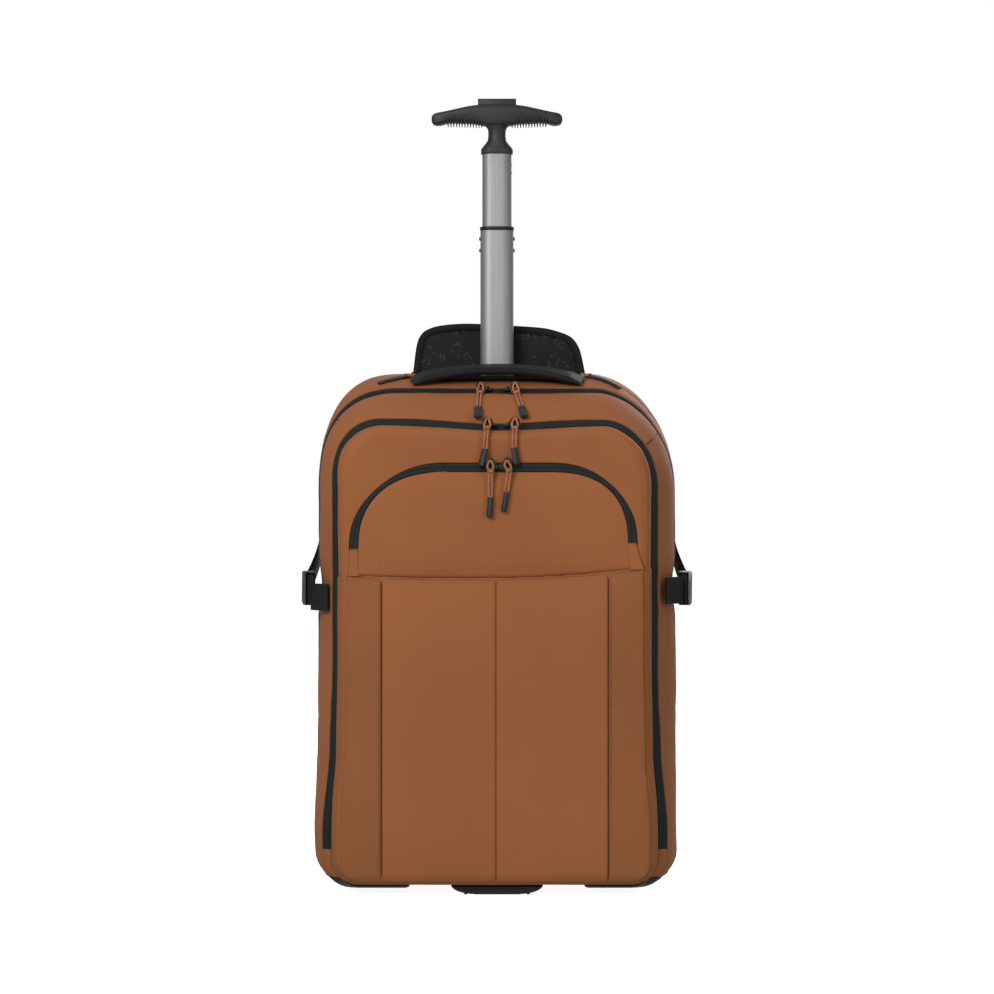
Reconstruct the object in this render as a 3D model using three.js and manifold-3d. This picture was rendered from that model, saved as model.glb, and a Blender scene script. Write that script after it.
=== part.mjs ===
import * as THREE from "three";
import { mergeVertices } from "three/addons/utils/BufferGeometryUtils.js";
import Module from "manifold-3d";

// Millimetres, +Z up, floor at z = 0, the front faces -Y. A depth is counted back from the front panel.
const wasm = await Module();
wasm.setup();

const frontY = -106;
const clearance = 0.3;
const wall = 2;

// Depths of the layers
const faceDepth = 3;
const frontZipStart = 25;
const frontZipEnd = 34;
const dividerDepth = 44;
const mainZipStart = 83;
const mainZipEnd = 93;
const mainRear = 118;
const rearEnd = 160;
const frontZipFoot = 40;
const mainZipFoot = 62;

// The body's outline from the front, at depths from the face to the back
const sections = [
  { depth: 3, half: 145, halfLow: 150, top: 441, bottom: 19, cornerX: 46, cornerZ: 62, cornerLow: 16 },
  { depth: 5.5, half: 150.5, halfLow: 155, top: 446, bottom: 14, cornerX: 49, cornerZ: 66, cornerLow: 19 },
  { depth: 12, half: 154, halfLow: 159, top: 449, bottom: 10.5, cornerX: 50, cornerZ: 67, cornerLow: 22 },
  { depth: 25, half: 156, halfLow: 161.5, top: 450.4, bottom: 9, cornerX: 51, cornerZ: 67, cornerLow: 24 },
  { depth: 34, half: 158.5, halfLow: 164, top: 455, bottom: 8.6, cornerX: 54, cornerZ: 71, cornerLow: 25 },
  { depth: 58, half: 167.5, halfLow: 171, top: 470, bottom: 8.6, cornerX: 68, cornerZ: 84, cornerLow: 27 },
  { depth: 88, half: 174, halfLow: 175.5, top: 484.6, bottom: 9, cornerX: 80, cornerZ: 98, cornerLow: 28 },
  { depth: 110, half: 174.6, halfLow: 175.8, top: 493.4, bottom: 9.5, cornerX: 82, cornerZ: 101, cornerLow: 28 },
  { depth: 135, half: 173.4, halfLow: 174.6, top: 500.4, bottom: 10.5, cornerX: 82, cornerZ: 102, cornerLow: 27 },
  { depth: 154, half: 171, halfLow: 172, top: 502.6, bottom: 12, cornerX: 80, cornerZ: 100, cornerLow: 25 },
  { depth: 160, half: 166, halfLow: 167, top: 498.5, bottom: 16, cornerX: 76, cornerZ: 96, cornerLow: 21 },
];
const cornerPowerLeft = 2.5;
const cornerPowerRight = 1.9;
const pinchZ = 294;
const pinchReach = 34;
const pinchDeep = 3.2;

// Arched pocket zip and the cross seam below it
const seamZ = 302.8;
const archFoot = 331;
const archTop = 408;
const archHalf = 132.5;
const archFlat = 48;
const archPower = 2.3;
const archBand = 9.4;
const panelThick = 1.5;

// Trolley: heights of the stages as shown, and the grip's own sizes
const tubeDepth = (mainRear + rearEnd) / 2 + 1;
const sleeveFit = 0.5;
const stageFit = 0.6;
const gripHigh = 22.2;
const neckHigh = 27.7;
const upperShown = 70.7;
const collarHeight = 5;
const gripHalf = 65;
const gripDeep = 26;
const lowerTube = { width: 33, deep: 24, wall: 1.3, top: 644.6, bottom: 270 };
const gripTop = lowerTube.top + clearance + collarHeight + upperShown + neckHigh + gripHigh;
const upperTube = {
  width: lowerTube.width - 2 * (lowerTube.wall + stageFit),
  deep: lowerTube.deep - 2 * (lowerTube.wall + stageFit),
  wall: 1.2,
  top: gripTop - gripHigh - neckHigh + 2.2,
  bottom: 402,
};
const sleeveWall = 1.5;
const sleeve = {
  width: lowerTube.width + 2 * (sleeveWall + sleeveFit),
  deep: lowerTube.deep + 2 * (sleeveWall + sleeveFit),
  wall: sleeveWall,
  top: 422,
  bottom: 14.4,
};

const materials = {
  orangeFabric: new THREE.MeshStandardMaterial({ color: 0x935a34, roughness: 0.75 }),
  blackFabric: new THREE.MeshStandardMaterial({ color: 0x2a2a2b, roughness: 0.85 }),
  webbing: new THREE.MeshStandardMaterial({ color: 0x1d1d1f, roughness: 0.8 }),
  zipTape: new THREE.MeshStandardMaterial({ color: 0x2f3434, roughness: 0.6 }),
  blackPlastic: new THREE.MeshStandardMaterial({ color: 0x191a1b, roughness: 0.45 }),
  gripPlastic: new THREE.MeshStandardMaterial({ color: 0x3a3a3b, roughness: 0.55 }),
  aluminium: new THREE.MeshStandardMaterial({ color: 0xa9a9a6, roughness: 0.35, metalness: 1 }),
  steel: new THREE.MeshStandardMaterial({ color: 0x2b2b2d, roughness: 0.35, metalness: 1 }),
  cord: new THREE.MeshStandardMaterial({ color: 0xa06238, roughness: 0.7 }),
  rubber: new THREE.MeshStandardMaterial({ color: 0x1c1b1a, roughness: 0.7 }),
};

const backpack = new THREE.Group();
backpack.name = "wheeled_backpack";

function add(name, geometry, material) {
  const mesh = new THREE.Mesh(geometry, materials[material]);
  mesh.name = name;
  mesh.position.y = frontY;
  backpack.add(mesh);
  return mesh;
}

// Builders below work with Y as depth. add() sets each mesh back into the shared frame.
function meshOf(points, faces) {
  const geometry = new THREE.BufferGeometry();
  geometry.setAttribute("position", new THREE.Float32BufferAttribute(points.flat(), 3));
  geometry.setIndex(faces.flat());
  geometry.computeVertexNormals();
  return geometry;
}

function solid(geometry) {
  const bare = new THREE.BufferGeometry();
  bare.setAttribute("position", geometry.getAttribute("position"));
  bare.setIndex(geometry.index);
  const merged = mergeVertices(bare, 1e-4);
  return new wasm.Manifold(
    new wasm.Mesh({
      numProp: 3,
      vertProperties: new Float32Array(merged.getAttribute("position").array),
      triVerts: new Uint32Array(merged.index.array),
    }),
  );
}

function geometryOf(body) {
  const mesh = body.getMesh();
  const geometry = new THREE.BufferGeometry();
  geometry.setAttribute("position", new THREE.BufferAttribute(new Float32Array(mesh.vertProperties), 3));
  geometry.setIndex(new THREE.BufferAttribute(new Uint32Array(mesh.triVerts), 1));
  geometry.computeVertexNormals();
  return geometry;
}

function box(x0, x1, d0, d1, z0, z1) {
  const geometry = new THREE.BoxGeometry(x1 - x0, d1 - d0, z1 - z0);
  geometry.translate((x0 + x1) / 2, (d0 + d1) / 2, (z0 + z1) / 2);
  return geometry;
}

// A closed skin through rings with equal counts. The two ends are filled flat.
function loft(rings) {
  const count = rings[0].length;
  const points = rings.flat();
  const faces = [];
  for (let ring = 0; ring + 1 < rings.length; ring++) {
    for (let i = 0; i < count; i++) {
      const a = ring * count + i;
      const b = ring * count + ((i + 1) % count);
      faces.push([a, b, b + count], [a, b + count, a + count]);
    }
  }
  const fill = (ring, offset, turned) => {
    const origin = new THREE.Vector3(...ring[0]);
    const across = new THREE.Vector3(...ring[Math.floor(count / 3)]).sub(origin).normalize();
    const other = new THREE.Vector3(...ring[Math.floor((count * 2) / 3)]).sub(origin);
    const normal = new THREE.Vector3().crossVectors(across, other).normalize();
    const up = new THREE.Vector3().crossVectors(normal, across);
    const flat = ring.map((p) => {
      const v = new THREE.Vector3(...p).sub(origin);
      return new THREE.Vector2(v.dot(across), v.dot(up));
    });
    const inOrder = !THREE.ShapeUtils.isClockWise(flat);
    for (const [a, b, c] of THREE.ShapeUtils.triangulateShape(flat, [])) {
      const face = [a + offset, b + offset, c + offset];
      faces.push(inOrder === turned ? [face[0], face[2], face[1]] : face);
    }
  };
  fill(rings[0], 0, true);
  fill(rings[rings.length - 1], (rings.length - 1) * count, false);
  const geometry = meshOf(points, faces);
  return solid(geometry).volume() < 0 ? meshOf(points, faces.map(([a, b, c]) => [a, c, b])) : geometry;
}

function sectionAt(depth) {
  const last = sections.length - 1;
  let i = 0;
  while (i < last - 1 && sections[i + 1].depth < depth) i++;
  const low = sections[i];
  const high = sections[i + 1];
  const t = Math.min(1, Math.max(0, (depth - low.depth) / (high.depth - low.depth)));
  const mixed = {};
  for (const key of Object.keys(low)) mixed[key] = low[key] + (high[key] - low[key]) * t;
  return mixed;
}

// Half of an outline from top middle to bottom middle, as [x, z] with x counted outwards.
// The bag slumps a little, so its left shoulder is squarer than its right one.
function halfOutline(s, depth, cornerPower) {
  const half = [];
  const flat = s.half - s.cornerX;
  for (const part of [0, 1]) half.push([flat * part, s.top]);
  for (let i = 1; i <= 8; i++) {
    const angle = (Math.PI / 2) * (i / 8);
    const x = Math.pow(Math.sin(angle), 2 / cornerPower);
    const z = Math.pow(Math.max(0, Math.cos(angle)), 2 / cornerPower);
    half.push([flat + s.cornerX * x, s.top - s.cornerZ + s.cornerZ * z]);
  }
  const sideTop = s.top - s.cornerZ;
  const sideLow = s.bottom + s.cornerLow;
  const middles = [pinchZ + pinchReach, pinchZ, pinchZ - pinchReach, 170, 90];
  const fade = Math.min(1, Math.max(0, (depth - 34) / 30));
  for (const z of middles) {
    const t = (sideTop - z) / (sideTop - sideLow);
    const pinch = z === pinchZ ? pinchDeep * fade : 0;
    half.push([s.half + (s.halfLow - s.half) * t - pinch, z]);
  }
  for (let i = 0; i <= 3; i++) {
    const angle = (Math.PI / 2) * (i / 3);
    half.push([
      s.halfLow - s.cornerLow + s.cornerLow * Math.cos(angle),
      s.bottom + s.cornerLow - s.cornerLow * Math.sin(angle),
    ]);
  }
  half.push([0, s.bottom]);
  return half;
}

function bodyRing(depth, inset = 0) {
  const s = sectionAt(depth);
  s.half -= inset;
  s.halfLow -= inset;
  s.top -= inset;
  s.bottom += inset;
  s.cornerX -= inset * 0.6;
  s.cornerZ -= inset * 0.6;
  s.cornerLow = Math.max(3, s.cornerLow - inset);
  const right = halfOutline(s, depth, cornerPowerRight);
  const left = halfOutline(s, depth, cornerPowerLeft).slice(1, -1).reverse().map(([x, z]) => [-x, z]);
  return [...right, ...left].map(([x, z]) => [x, depth, z]);
}

function bodyLoft(from, to, inset = 0) {
  const between = sections.map((s) => s.depth).filter((d) => d > from + 0.5 && d < to - 0.5);
  return loft([from, ...between, to].map((d) => bodyRing(d, inset)));
}

function topAt(depth, x = 0) {
  const s = sectionAt(depth);
  const power = x < 0 ? cornerPowerLeft : cornerPowerRight;
  const u = Math.max(0, (Math.abs(x) - s.half + s.cornerX) / s.cornerX);
  return s.top - s.cornerZ + s.cornerZ * Math.pow(1 - Math.pow(u, power), 1 / power);
}

// A strip that runs round the top and both sides of the body and stops above the floor
function bodyBand(from, to, outerInset, innerInset, foot) {
  const ring = solid(bodyLoft(from, to, outerInset)).subtract(solid(bodyLoft(from - 1, to + 1, innerInset)));
  return ring.subtract(solid(box(-300, 300, from - 5, to + 5, -50, foot)));
}

// A soft strap or pad: a rounded section carried along stations with their own width and thickness
function ribbon(stations, round = 0.45) {
  const rings = stations.map((s) => {
    const along = new THREE.Vector3(...s.along).normalize();
    const across = new THREE.Vector3(...s.across);
    across.addScaledVector(along, -across.dot(along)).normalize();
    const normal = new THREE.Vector3().crossVectors(along, across);
    const w = s.width / 2;
    const t = s.thick / 2;
    const r = Math.min(t, w) * round;
    const corners = [
      [w, t - r], [w - r, t], [r - w, t], [-w, t - r],
      [-w, r - t], [r - w, -t], [w - r, -t], [w, r - t],
    ];
    return corners.map(([a, b]) => {
      const p = new THREE.Vector3(...s.at).addScaledVector(across, a).addScaledVector(normal, b);
      return [p.x, p.y, p.z];
    });
  });
  return loft(rings);
}

// Stations along a smooth curve through a few points
function stationsAlong(points, count, across, width, thick) {
  const curve = new THREE.CatmullRomCurve3(points.map((p) => new THREE.Vector3(...p)));
  const stations = [];
  for (let i = 0; i <= count; i++) {
    const t = i / count;
    stations.push({
      at: curve.getPointAt(t).toArray(),
      along: curve.getTangentAt(t).toArray(),
      across: typeof across === "function" ? across(t) : across,
      width: typeof width === "function" ? width(t) : width,
      thick: typeof thick === "function" ? thick(t) : thick,
    });
  }
  return stations;
}

function roundedRectangle(width, height, radius) {
  const shape = new THREE.Shape();
  const x = width / 2;
  const y = height / 2;
  shape.moveTo(radius - x, -y);
  shape.lineTo(x - radius, -y);
  shape.absarc(x - radius, radius - y, radius, -Math.PI / 2, 0);
  shape.lineTo(x, y - radius);
  shape.absarc(x - radius, y - radius, radius, 0, Math.PI / 2);
  shape.lineTo(radius - x, y);
  shape.absarc(radius - x, y - radius, radius, Math.PI / 2, Math.PI);
  shape.lineTo(-x, radius - y);
  shape.absarc(radius - x, radius - y, radius, Math.PI, Math.PI * 1.5);
  return shape;
}

// A block with rounded edges along its extrusion, centred on its place
function block(width, height, length, radius, bevel = 0, curveSegments = 3) {
  const geometry = new THREE.ExtrudeGeometry(roundedRectangle(width - 2 * bevel, height - 2 * bevel, radius), {
    depth: length - 2 * bevel,
    bevelEnabled: bevel > 0,
    bevelSize: bevel,
    bevelThickness: bevel,
    bevelSegments: 1,
    curveSegments,
  });
  geometry.translate(0, 0, bevel - length / 2);
  return geometry;
}

// An upright tube with a rounded oblong section, open at both ends
function oblongTube(width, deep, wallThick, bottom, top) {
  const shape = roundedRectangle(width, deep, deep * 0.46);
  const inner = roundedRectangle(width - 2 * wallThick, deep - 2 * wallThick, deep * 0.46 - wallThick);
  shape.holes.push(new THREE.Path(inner.getPoints(4).reverse()));
  const geometry = new THREE.ExtrudeGeometry(shape, { depth: top - bottom, bevelEnabled: false, curveSegments: 4 });
  geometry.translate(0, tubeDepth, bottom);
  return geometry;
}

function cylinderX(radius, x0, x1, depth, z, segments = 24) {
  const geometry = new THREE.CylinderGeometry(radius, radius, x1 - x0, segments);
  geometry.rotateZ(Math.PI / 2);
  geometry.translate((x0 + x1) / 2, depth, z);
  return geometry;
}

// Front shell: the front compartment's face and rim, open at its rear
const frontOuter = solid(bodyLoft(faceDepth, frontZipStart));
const frontInner = solid(bodyLoft(faceDepth + wall, frontZipStart + 1, wall));
add("front_shell", geometryOf(frontOuter.subtract(frontInner)), "orangeFabric");

// Main shell: gusset, divider and main compartment
const mainStart = frontZipStart + clearance;
let mainShell = solid(bodyLoft(mainStart, mainRear));
mainShell = mainShell.subtract(solid(bodyLoft(mainStart - 1, dividerDepth, wall)));
mainShell = mainShell.subtract(solid(bodyLoft(dividerDepth + wall, mainRear - wall, wall)));
mainShell = mainShell.subtract(solid(box(-300, 300, mainStart - 1, frontZipEnd, frontZipFoot, 600)));
mainShell = mainShell.subtract(bodyBand(mainZipStart, mainZipEnd, -20, wall * 2, mainZipFoot));
add("main_shell", geometryOf(mainShell), "orangeFabric");

// Rear section: the trolley's channel, open at the top behind the carry handle
const channelHalf = 84;
const channelFront = mainRear + clearance + wall;
const channelRear = rearEnd - 2.5;
let rearSection = solid(bodyLoft(mainRear + clearance, rearEnd));
rearSection = rearSection.subtract(solid(bodyLoft(channelFront, channelRear, wall)));
rearSection = rearSection.subtract(solid(box(-channelHalf, channelHalf, 124, 155.5, 470, 600)));
add("rear_section", geometryOf(rearSection), "orangeFabric");

// Zip bands in their slots, a little below the fabric
const bandSunk = 0.4;
const bandThick = 1.2;
const bandEnd = 1.5;
const frontBand = bodyBand(
  frontZipStart + clearance, frontZipEnd - clearance, bandSunk, bandSunk + bandThick, frontZipFoot + bandEnd,
);
add("zip_front", geometryOf(frontBand), "zipTape");
const mainBand = bodyBand(
  mainZipStart + clearance, mainZipEnd - clearance, bandSunk, bandSunk + bandThick, mainZipFoot + bandEnd,
);
add("zip_main", geometryOf(mainBand), "zipTape");

// The arch: half its width at a height, and the same line as points
function archHalfAt(z, inset) {
  const reach = archHalf - archFlat - inset;
  const rise = archTop - archFoot - inset;
  const v = Math.min(1, Math.max(0, (z - archFoot) / rise));
  return archFlat + reach * Math.pow(1 - Math.pow(v, archPower), 1 / archPower);
}

function archLine(inset) {
  const line = [];
  for (let i = 0; i <= 12; i++) {
    const angle = (Math.PI / 2) * (i / 12);
    const x = Math.pow(Math.cos(angle), 2 / archPower);
    const z = Math.pow(Math.sin(angle), 2 / archPower);
    line.push([
      archFlat + (archHalf - archFlat - inset) * x,
      archFoot + (archTop - archFoot - inset) * z,
    ]);
  }
  return [...line, ...line.slice().reverse().map(([x, z]) => [-x, z])];
}

const archOuter = archLine(-archBand / 2);
const archInner = archLine(archBand / 2).reverse();
const archShape = new THREE.Shape([...archOuter, ...archInner].map(([x, z]) => new THREE.Vector2(x, z)));
const archZip = new THREE.ExtrudeGeometry(archShape, { depth: bandThick, bevelEnabled: false });
archZip.rotateX(Math.PI / 2);
archZip.translate(0, faceDepth - clearance, 0);
add("zip_pocket", archZip, "zipTape");

// A bulged panel of even thickness between two heights, open behind
function bulgedPanel(low, high, halfAt, edgeDepth, bulge, rows, columns) {
  const front = [];
  const back = [];
  for (let r = 0; r <= rows; r++) {
    const v = -Math.cos((Math.PI * r) / rows);
    const z = (low + high) / 2 + (v * (high - low)) / 2;
    for (let c = 0; c <= columns; c++) {
      const u = Math.sin((Math.PI / 2) * ((2 * c) / columns - 1));
      const lift = bulge * (1 - Math.pow(Math.abs(u), 4)) * (1 - Math.pow(Math.abs(v), 4));
      front.push([u * halfAt(z), edgeDepth - panelThick - lift, z]);
      back.push([u * halfAt(z), edgeDepth - lift, z]);
    }
  }
  const wide = columns + 1;
  const offset = front.length;
  const faces = [];
  for (let r = 0; r < rows; r++) {
    for (let c = 0; c < columns; c++) {
      const a = r * wide + c;
      const b = a + 1;
      faces.push([a, b, b + wide], [a, b + wide, a + wide]);
      faces.push([a + offset, b + wide + offset, b + offset], [a + offset, a + wide + offset, b + wide + offset]);
    }
  }
  const rim = [];
  for (let c = 0; c < columns; c++) rim.push(c);
  for (let r = 0; r < rows; r++) rim.push(r * wide + columns);
  for (let c = columns; c > 0; c--) rim.push(rows * wide + c);
  for (let r = rows; r > 0; r--) rim.push(r * wide);
  for (let i = 0; i < rim.length; i++) {
    const a = rim[i];
    const b = rim[(i + 1) % rim.length];
    faces.push([b, a, a + offset], [b, a + offset, b + offset]);
  }
  return meshOf([...front, ...back], faces);
}

const panelEdge = faceDepth - clearance;
const pocketGap = archBand / 2 + clearance;
add(
  "upper_pocket_panel",
  bulgedPanel(
    seamZ + clearance / 2, archTop - pocketGap - 0.2,
    (z) => Math.min(archHalfAt(z, pocketGap + 0.3), archHalf - pocketGap - 0.5), panelEdge, 5, 8, 10,
  ),
  "orangeFabric",
);

const lowerPanelLow = 14;
const lowerCorner = 16;
function lowerHalfAt(z) {
  const slope = 147.5 + (152.5 - 147.5) * ((seamZ - z) / (seamZ - lowerPanelLow));
  const short = Math.max(0, lowerPanelLow + lowerCorner - z) / lowerCorner;
  return slope - lowerCorner * (1 - Math.sqrt(Math.max(0, 1 - short * short)));
}
add(
  "lower_front_panel",
  bulgedPanel(lowerPanelLow, seamZ - clearance / 2, lowerHalfAt, panelEdge - 0.2, 6.5, 9, 10),
  "orangeFabric",
);

// Sliders, with the places where their pull cords leave them
const sliders = [
  { name: "zip_main_slider_left", x: -10.5, depth: 86.5, z: topAt(86.5) + 1.6, tilt: 0.46 },
  { name: "zip_main_slider_right", x: 13.5, depth: 86.5, z: topAt(86.5) + 1.6, tilt: 0.46 },
  { name: "zip_front_slider_left", x: -8, depth: 28, z: topAt(28) + 2.1, tilt: 0.42 },
  { name: "zip_front_slider_right", x: 13, depth: 28, z: topAt(28) + 2.1, tilt: 0.42 },
  { name: "zip_pocket_slider_left", x: -5.5, depth: -0.55, z: 407.5, tilt: Math.PI / 2 },
  { name: "zip_pocket_slider_right", x: 8.5, depth: -0.55, z: 407.5, tilt: Math.PI / 2 },
];
for (const s of sliders) {
  const geometry = block(9, 7, 3.4, 2, 0.5, 1);
  geometry.rotateX(s.tilt);
  geometry.translate(s.x, s.depth, s.z);
  add(s.name, geometry, "steel");
}

// Pull cords: a loop from the slider down to the moulded end and back
const cordRadius = 1.1;
const strandGap = 3.1;
const onTop = (x, depth, lift) => [x, depth, topAt(depth) + lift];
const pulls = [
  { name: "pull_main_left", eye: onTop(-12, 79.5, 1.9), end: onTop(-18, 50, 3.4), tip: onTop(-18.4, 34, 3.6) },
  { name: "pull_main_right", eye: onTop(15.5, 79.5, 1.9), end: onTop(23.5, 50.5, 3.4), tip: onTop(26.5, 36, 3.6) },
  { name: "pull_front_left", eye: [-9.2, 21.9, 454], end: [-11.4, -1, 426], tip: [-15.4, -3.6, 409] },
  { name: "pull_front_right", eye: [14.4, 21.9, 454], end: [16.2, -1, 427], tip: [18, -3.4, 410.5] },
  { name: "pull_pocket_left", eye: [-6.5, -4.1, 403.4], end: [-6.4, -6.8, 380.2], tip: [-7.4, -7, 360.6] },
  { name: "pull_pocket_right", eye: [9.6, -4.1, 403.8], end: [9.2, -6.8, 385.4], tip: [5.8, -7, 366.4] },
];

function pullPath(pull) {
  const eye = new THREE.Vector3(...pull.eye);
  const end = new THREE.Vector3(...pull.end);
  const side = new THREE.Vector3(1, 0, 0);
  const run = new THREE.Vector3().subVectors(end, eye);
  const bow = pull.name.startsWith("pull_front") ? new THREE.Vector3(0, -8.4, 9.8) : new THREE.Vector3();
  const at = (t, offset) => eye.clone().addScaledVector(run, t).addScaledVector(side, offset)
    .addScaledVector(bow, 4 * t * (1 - t) * 0.8);
  const half = strandGap / 2;
  return [
    at(0.99, -half), at(0.62, -half), at(0.3, -half - 0.9), at(0.1, -half - 0.6),
    at(-0.04, 0),
    at(0.1, half + 0.6), at(0.3, half + 0.9), at(0.62, half), at(0.99, half),
  ];
}

for (const pull of pulls) {
  const curve = new THREE.CatmullRomCurve3(pullPath(pull), false, "centripetal");
  const round = new THREE.Shape();
  round.absarc(0, 0, cordRadius, 0, Math.PI * 2);
  const steps = Math.round(curve.getLength() / 6);
  const cord = new THREE.ExtrudeGeometry(round, { extrudePath: curve, steps, curveSegments: 4, bevelEnabled: false });
  add(`${pull.name}_cord`, cord, "cord");
  const tip = new THREE.Vector3(...pull.tip);
  const end = new THREE.Vector3(...pull.end);
  const along = new THREE.Vector3().subVectors(tip, end);
  const length = along.length();
  along.normalize();
  const geometry = block(7.4, 4.8, length - 0.6, 1.4, 0.5, 1);
  geometry.applyQuaternion(new THREE.Quaternion().setFromUnitVectors(new THREE.Vector3(0, 0, 1), along));
  const middle = end.clone().addScaledVector(along, length / 2 + 0.3);
  geometry.translate(middle.x, middle.y, middle.z);
  add(`${pull.name}_end`, geometry, "rubber");
}

// Carry handle: a padded strap that arches over the top in front of the tube
const handleDepth = 106;
const handleHalf = 84;
const handleCrest = 505.6;
const handleWidth = 30;
const handleFoot = topAt(handleDepth) + 2.4;
const handleStations = [];
for (let i = 0; i <= 18; i++) {
  const u = (2 * i) / 18 - 1;
  const rise = Math.pow(Math.max(0, 1 - Math.pow(Math.abs(u), 2.4)), 1.1);
  const slope = THREE.MathUtils.lerp(0.36, 0.2, rise);
  const padded = Math.min(1, Math.max(0, (1 - Math.abs(u)) * 5));
  handleStations.push({
    at: [u * handleHalf, handleDepth, handleFoot + (handleCrest - handleFoot) * rise],
    along: [1, 0, -u * 0.45 * (1 - rise * 0.4)],
    across: [0, Math.cos(slope), Math.sin(slope)],
    width: handleWidth,
    thick: 2.6 + 5.4 * padded,
  });
}
add("top_handle", ribbon(handleStations, 0.9), "webbing");

// Flap of the trolley channel, standing open behind the tube
const flapHalfLow = 87;
const flapHalfHigh = 81;
const flapLow = 502.6;
const flapHigh = 553;
const flapCorner = 22;
const flapThick = 5;
const flapShape = new THREE.Shape();
flapShape.moveTo(-flapHalfLow, flapLow);
flapShape.lineTo(flapHalfLow, flapLow);
flapShape.lineTo(flapHalfHigh, flapHigh - flapCorner);
flapShape.quadraticCurveTo(flapHalfHigh - 2, flapHigh - 2, flapHalfHigh - 1.4 * flapCorner, flapHigh - 1);
flapShape.quadraticCurveTo(0, flapHigh + 1, 1.4 * flapCorner - flapHalfHigh, flapHigh - 1);
flapShape.quadraticCurveTo(2 - flapHalfHigh, flapHigh - 2, -flapHalfHigh, flapHigh - flapCorner);
flapShape.closePath();
const flap = new THREE.ExtrudeGeometry(flapShape, {
  depth: flapThick - 2, bevelEnabled: true, bevelSize: 1, bevelThickness: 1, bevelSegments: 1, bevelOffset: -1,
  curveSegments: 5,
});
flap.rotateX(Math.PI / 2);
flap.translate(0, 158.5, 0);
add("channel_flap", flap, "blackFabric");

// Short open zip ends on both sides of the channel's mouth
for (const [side, sign] of [["left", -1], ["right", 1]]) {
  const points = [[88, 128], [96, 123], [104, 120.5], [112, 121]].map(([x, d]) => [
    sign * x, d, topAt(d, sign * x) + 1.9,
  ]);
  add(`flap_zip_${side}`, ribbon(stationsAlong(points, 6, [0.4 * sign, 0.9, 0.25], 7, 2)), "zipTape");
}

// Trolley: a fixed sleeve, two sliding stages, the grip and its button
add("trolley_sleeve", oblongTube(sleeve.width, sleeve.deep, sleeve.wall, sleeve.bottom, sleeve.top), "blackPlastic");

const lowerStage = oblongTube(lowerTube.width, lowerTube.deep, lowerTube.wall, lowerTube.bottom, lowerTube.top);
add("trolley_lower_stage", lowerStage, "aluminium");

const upperStage = oblongTube(upperTube.width, upperTube.deep, upperTube.wall, upperTube.bottom, upperTube.top);
add("trolley_upper_stage", upperStage, "aluminium");

const collarRim = 0.5;
const collar = oblongTube(
  lowerTube.width + 2 * collarRim, lowerTube.deep + 2 * collarRim, collarRim + lowerTube.wall + stageFit - 0.45,
  lowerTube.top + clearance, lowerTube.top + clearance + collarHeight,
);
add("trolley_collar", collar, "blackPlastic");

// The grip: a shallow crescent on a short neck that closes over the upper tube
const gripLow = gripTop - gripHigh;
const gripShape = new THREE.Shape();
gripShape.moveTo(-8, gripLow);
gripShape.lineTo(5 - gripHalf, gripLow + 1);
gripShape.quadraticCurveTo(-gripHalf, gripLow + 1, -gripHalf, gripLow + 6.5);
gripShape.quadraticCurveTo(-gripHalf, gripTop - 9.7, 5 - gripHalf, gripTop - 8.1);
gripShape.quadraticCurveTo(27 - gripHalf, gripTop - 1.1, 45 - gripHalf, gripTop);
gripShape.lineTo(gripHalf - 45, gripTop);
gripShape.quadraticCurveTo(gripHalf - 27, gripTop - 1.1, gripHalf - 5, gripTop - 8.1);
gripShape.quadraticCurveTo(gripHalf, gripTop - 9.7, gripHalf, gripLow + 6.5);
gripShape.quadraticCurveTo(gripHalf, gripLow + 1, gripHalf - 5, gripLow + 1);
gripShape.lineTo(8, gripLow);
gripShape.closePath();
const gripBar = new THREE.ExtrudeGeometry(gripShape, {
  depth: gripDeep - 6, bevelEnabled: true, bevelSize: 2.5, bevelThickness: 3, bevelSegments: 1, bevelOffset: -2.5,
  curveSegments: 3,
});
gripBar.rotateX(Math.PI / 2);
gripBar.translate(0, tubeDepth + (gripDeep - 6) / 2, 0);
const ring = (width, deep, z) => roundedRectangle(width, deep, deep * 0.46).getPoints(4).slice(0, -1)
  .map((p) => [p.x, tubeDepth + p.y, z]);
const neckFoot = gripLow - neckHigh;
const neckRim = 0.8;
const neck = loft([
  ring(upperTube.width + 2 * neckRim, upperTube.deep + 2 * neckRim, neckFoot),
  ring(upperTube.width + 2 * neckRim, upperTube.deep + 2 * neckRim, neckFoot + 4.7),
  ring(17, 18, neckFoot + 13.2),
  ring(16, 17, gripLow + 2.5),
]);
const tubeRoom = loft([neckFoot - 2, upperTube.top, upperTube.top + 0.5].map((z) => (
  ring(upperTube.width + 2 * clearance, upperTube.deep + 2 * clearance, z)
)));
const buttonHalf = 19;
const buttonDeep = 15;
const buttonProud = 4.9;
const buttonRoom = 8.7;
const buttonTravel = 4.5;
let grip = solid(gripBar).add(solid(neck)).subtract(solid(tubeRoom));
grip = grip.subtract(solid(box(
  -buttonHalf - 0.5, buttonHalf + 0.5, tubeDepth - buttonDeep / 2 - 0.5, tubeDepth + buttonDeep / 2 + 0.5,
  gripTop - buttonRoom, gripTop + 10,
)));
add("trolley_grip", geometryOf(grip), "gripPlastic");

const buttonLow = gripTop - buttonRoom + buttonTravel;
const buttonTop = gripTop + buttonProud;
const button = block(buttonHalf * 2, buttonDeep, buttonTop - buttonLow, 2.5, 1, 2);
button.translate(0, tubeDepth, (buttonLow + buttonTop) / 2);
add("trolley_button", button, "gripPlastic");

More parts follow.
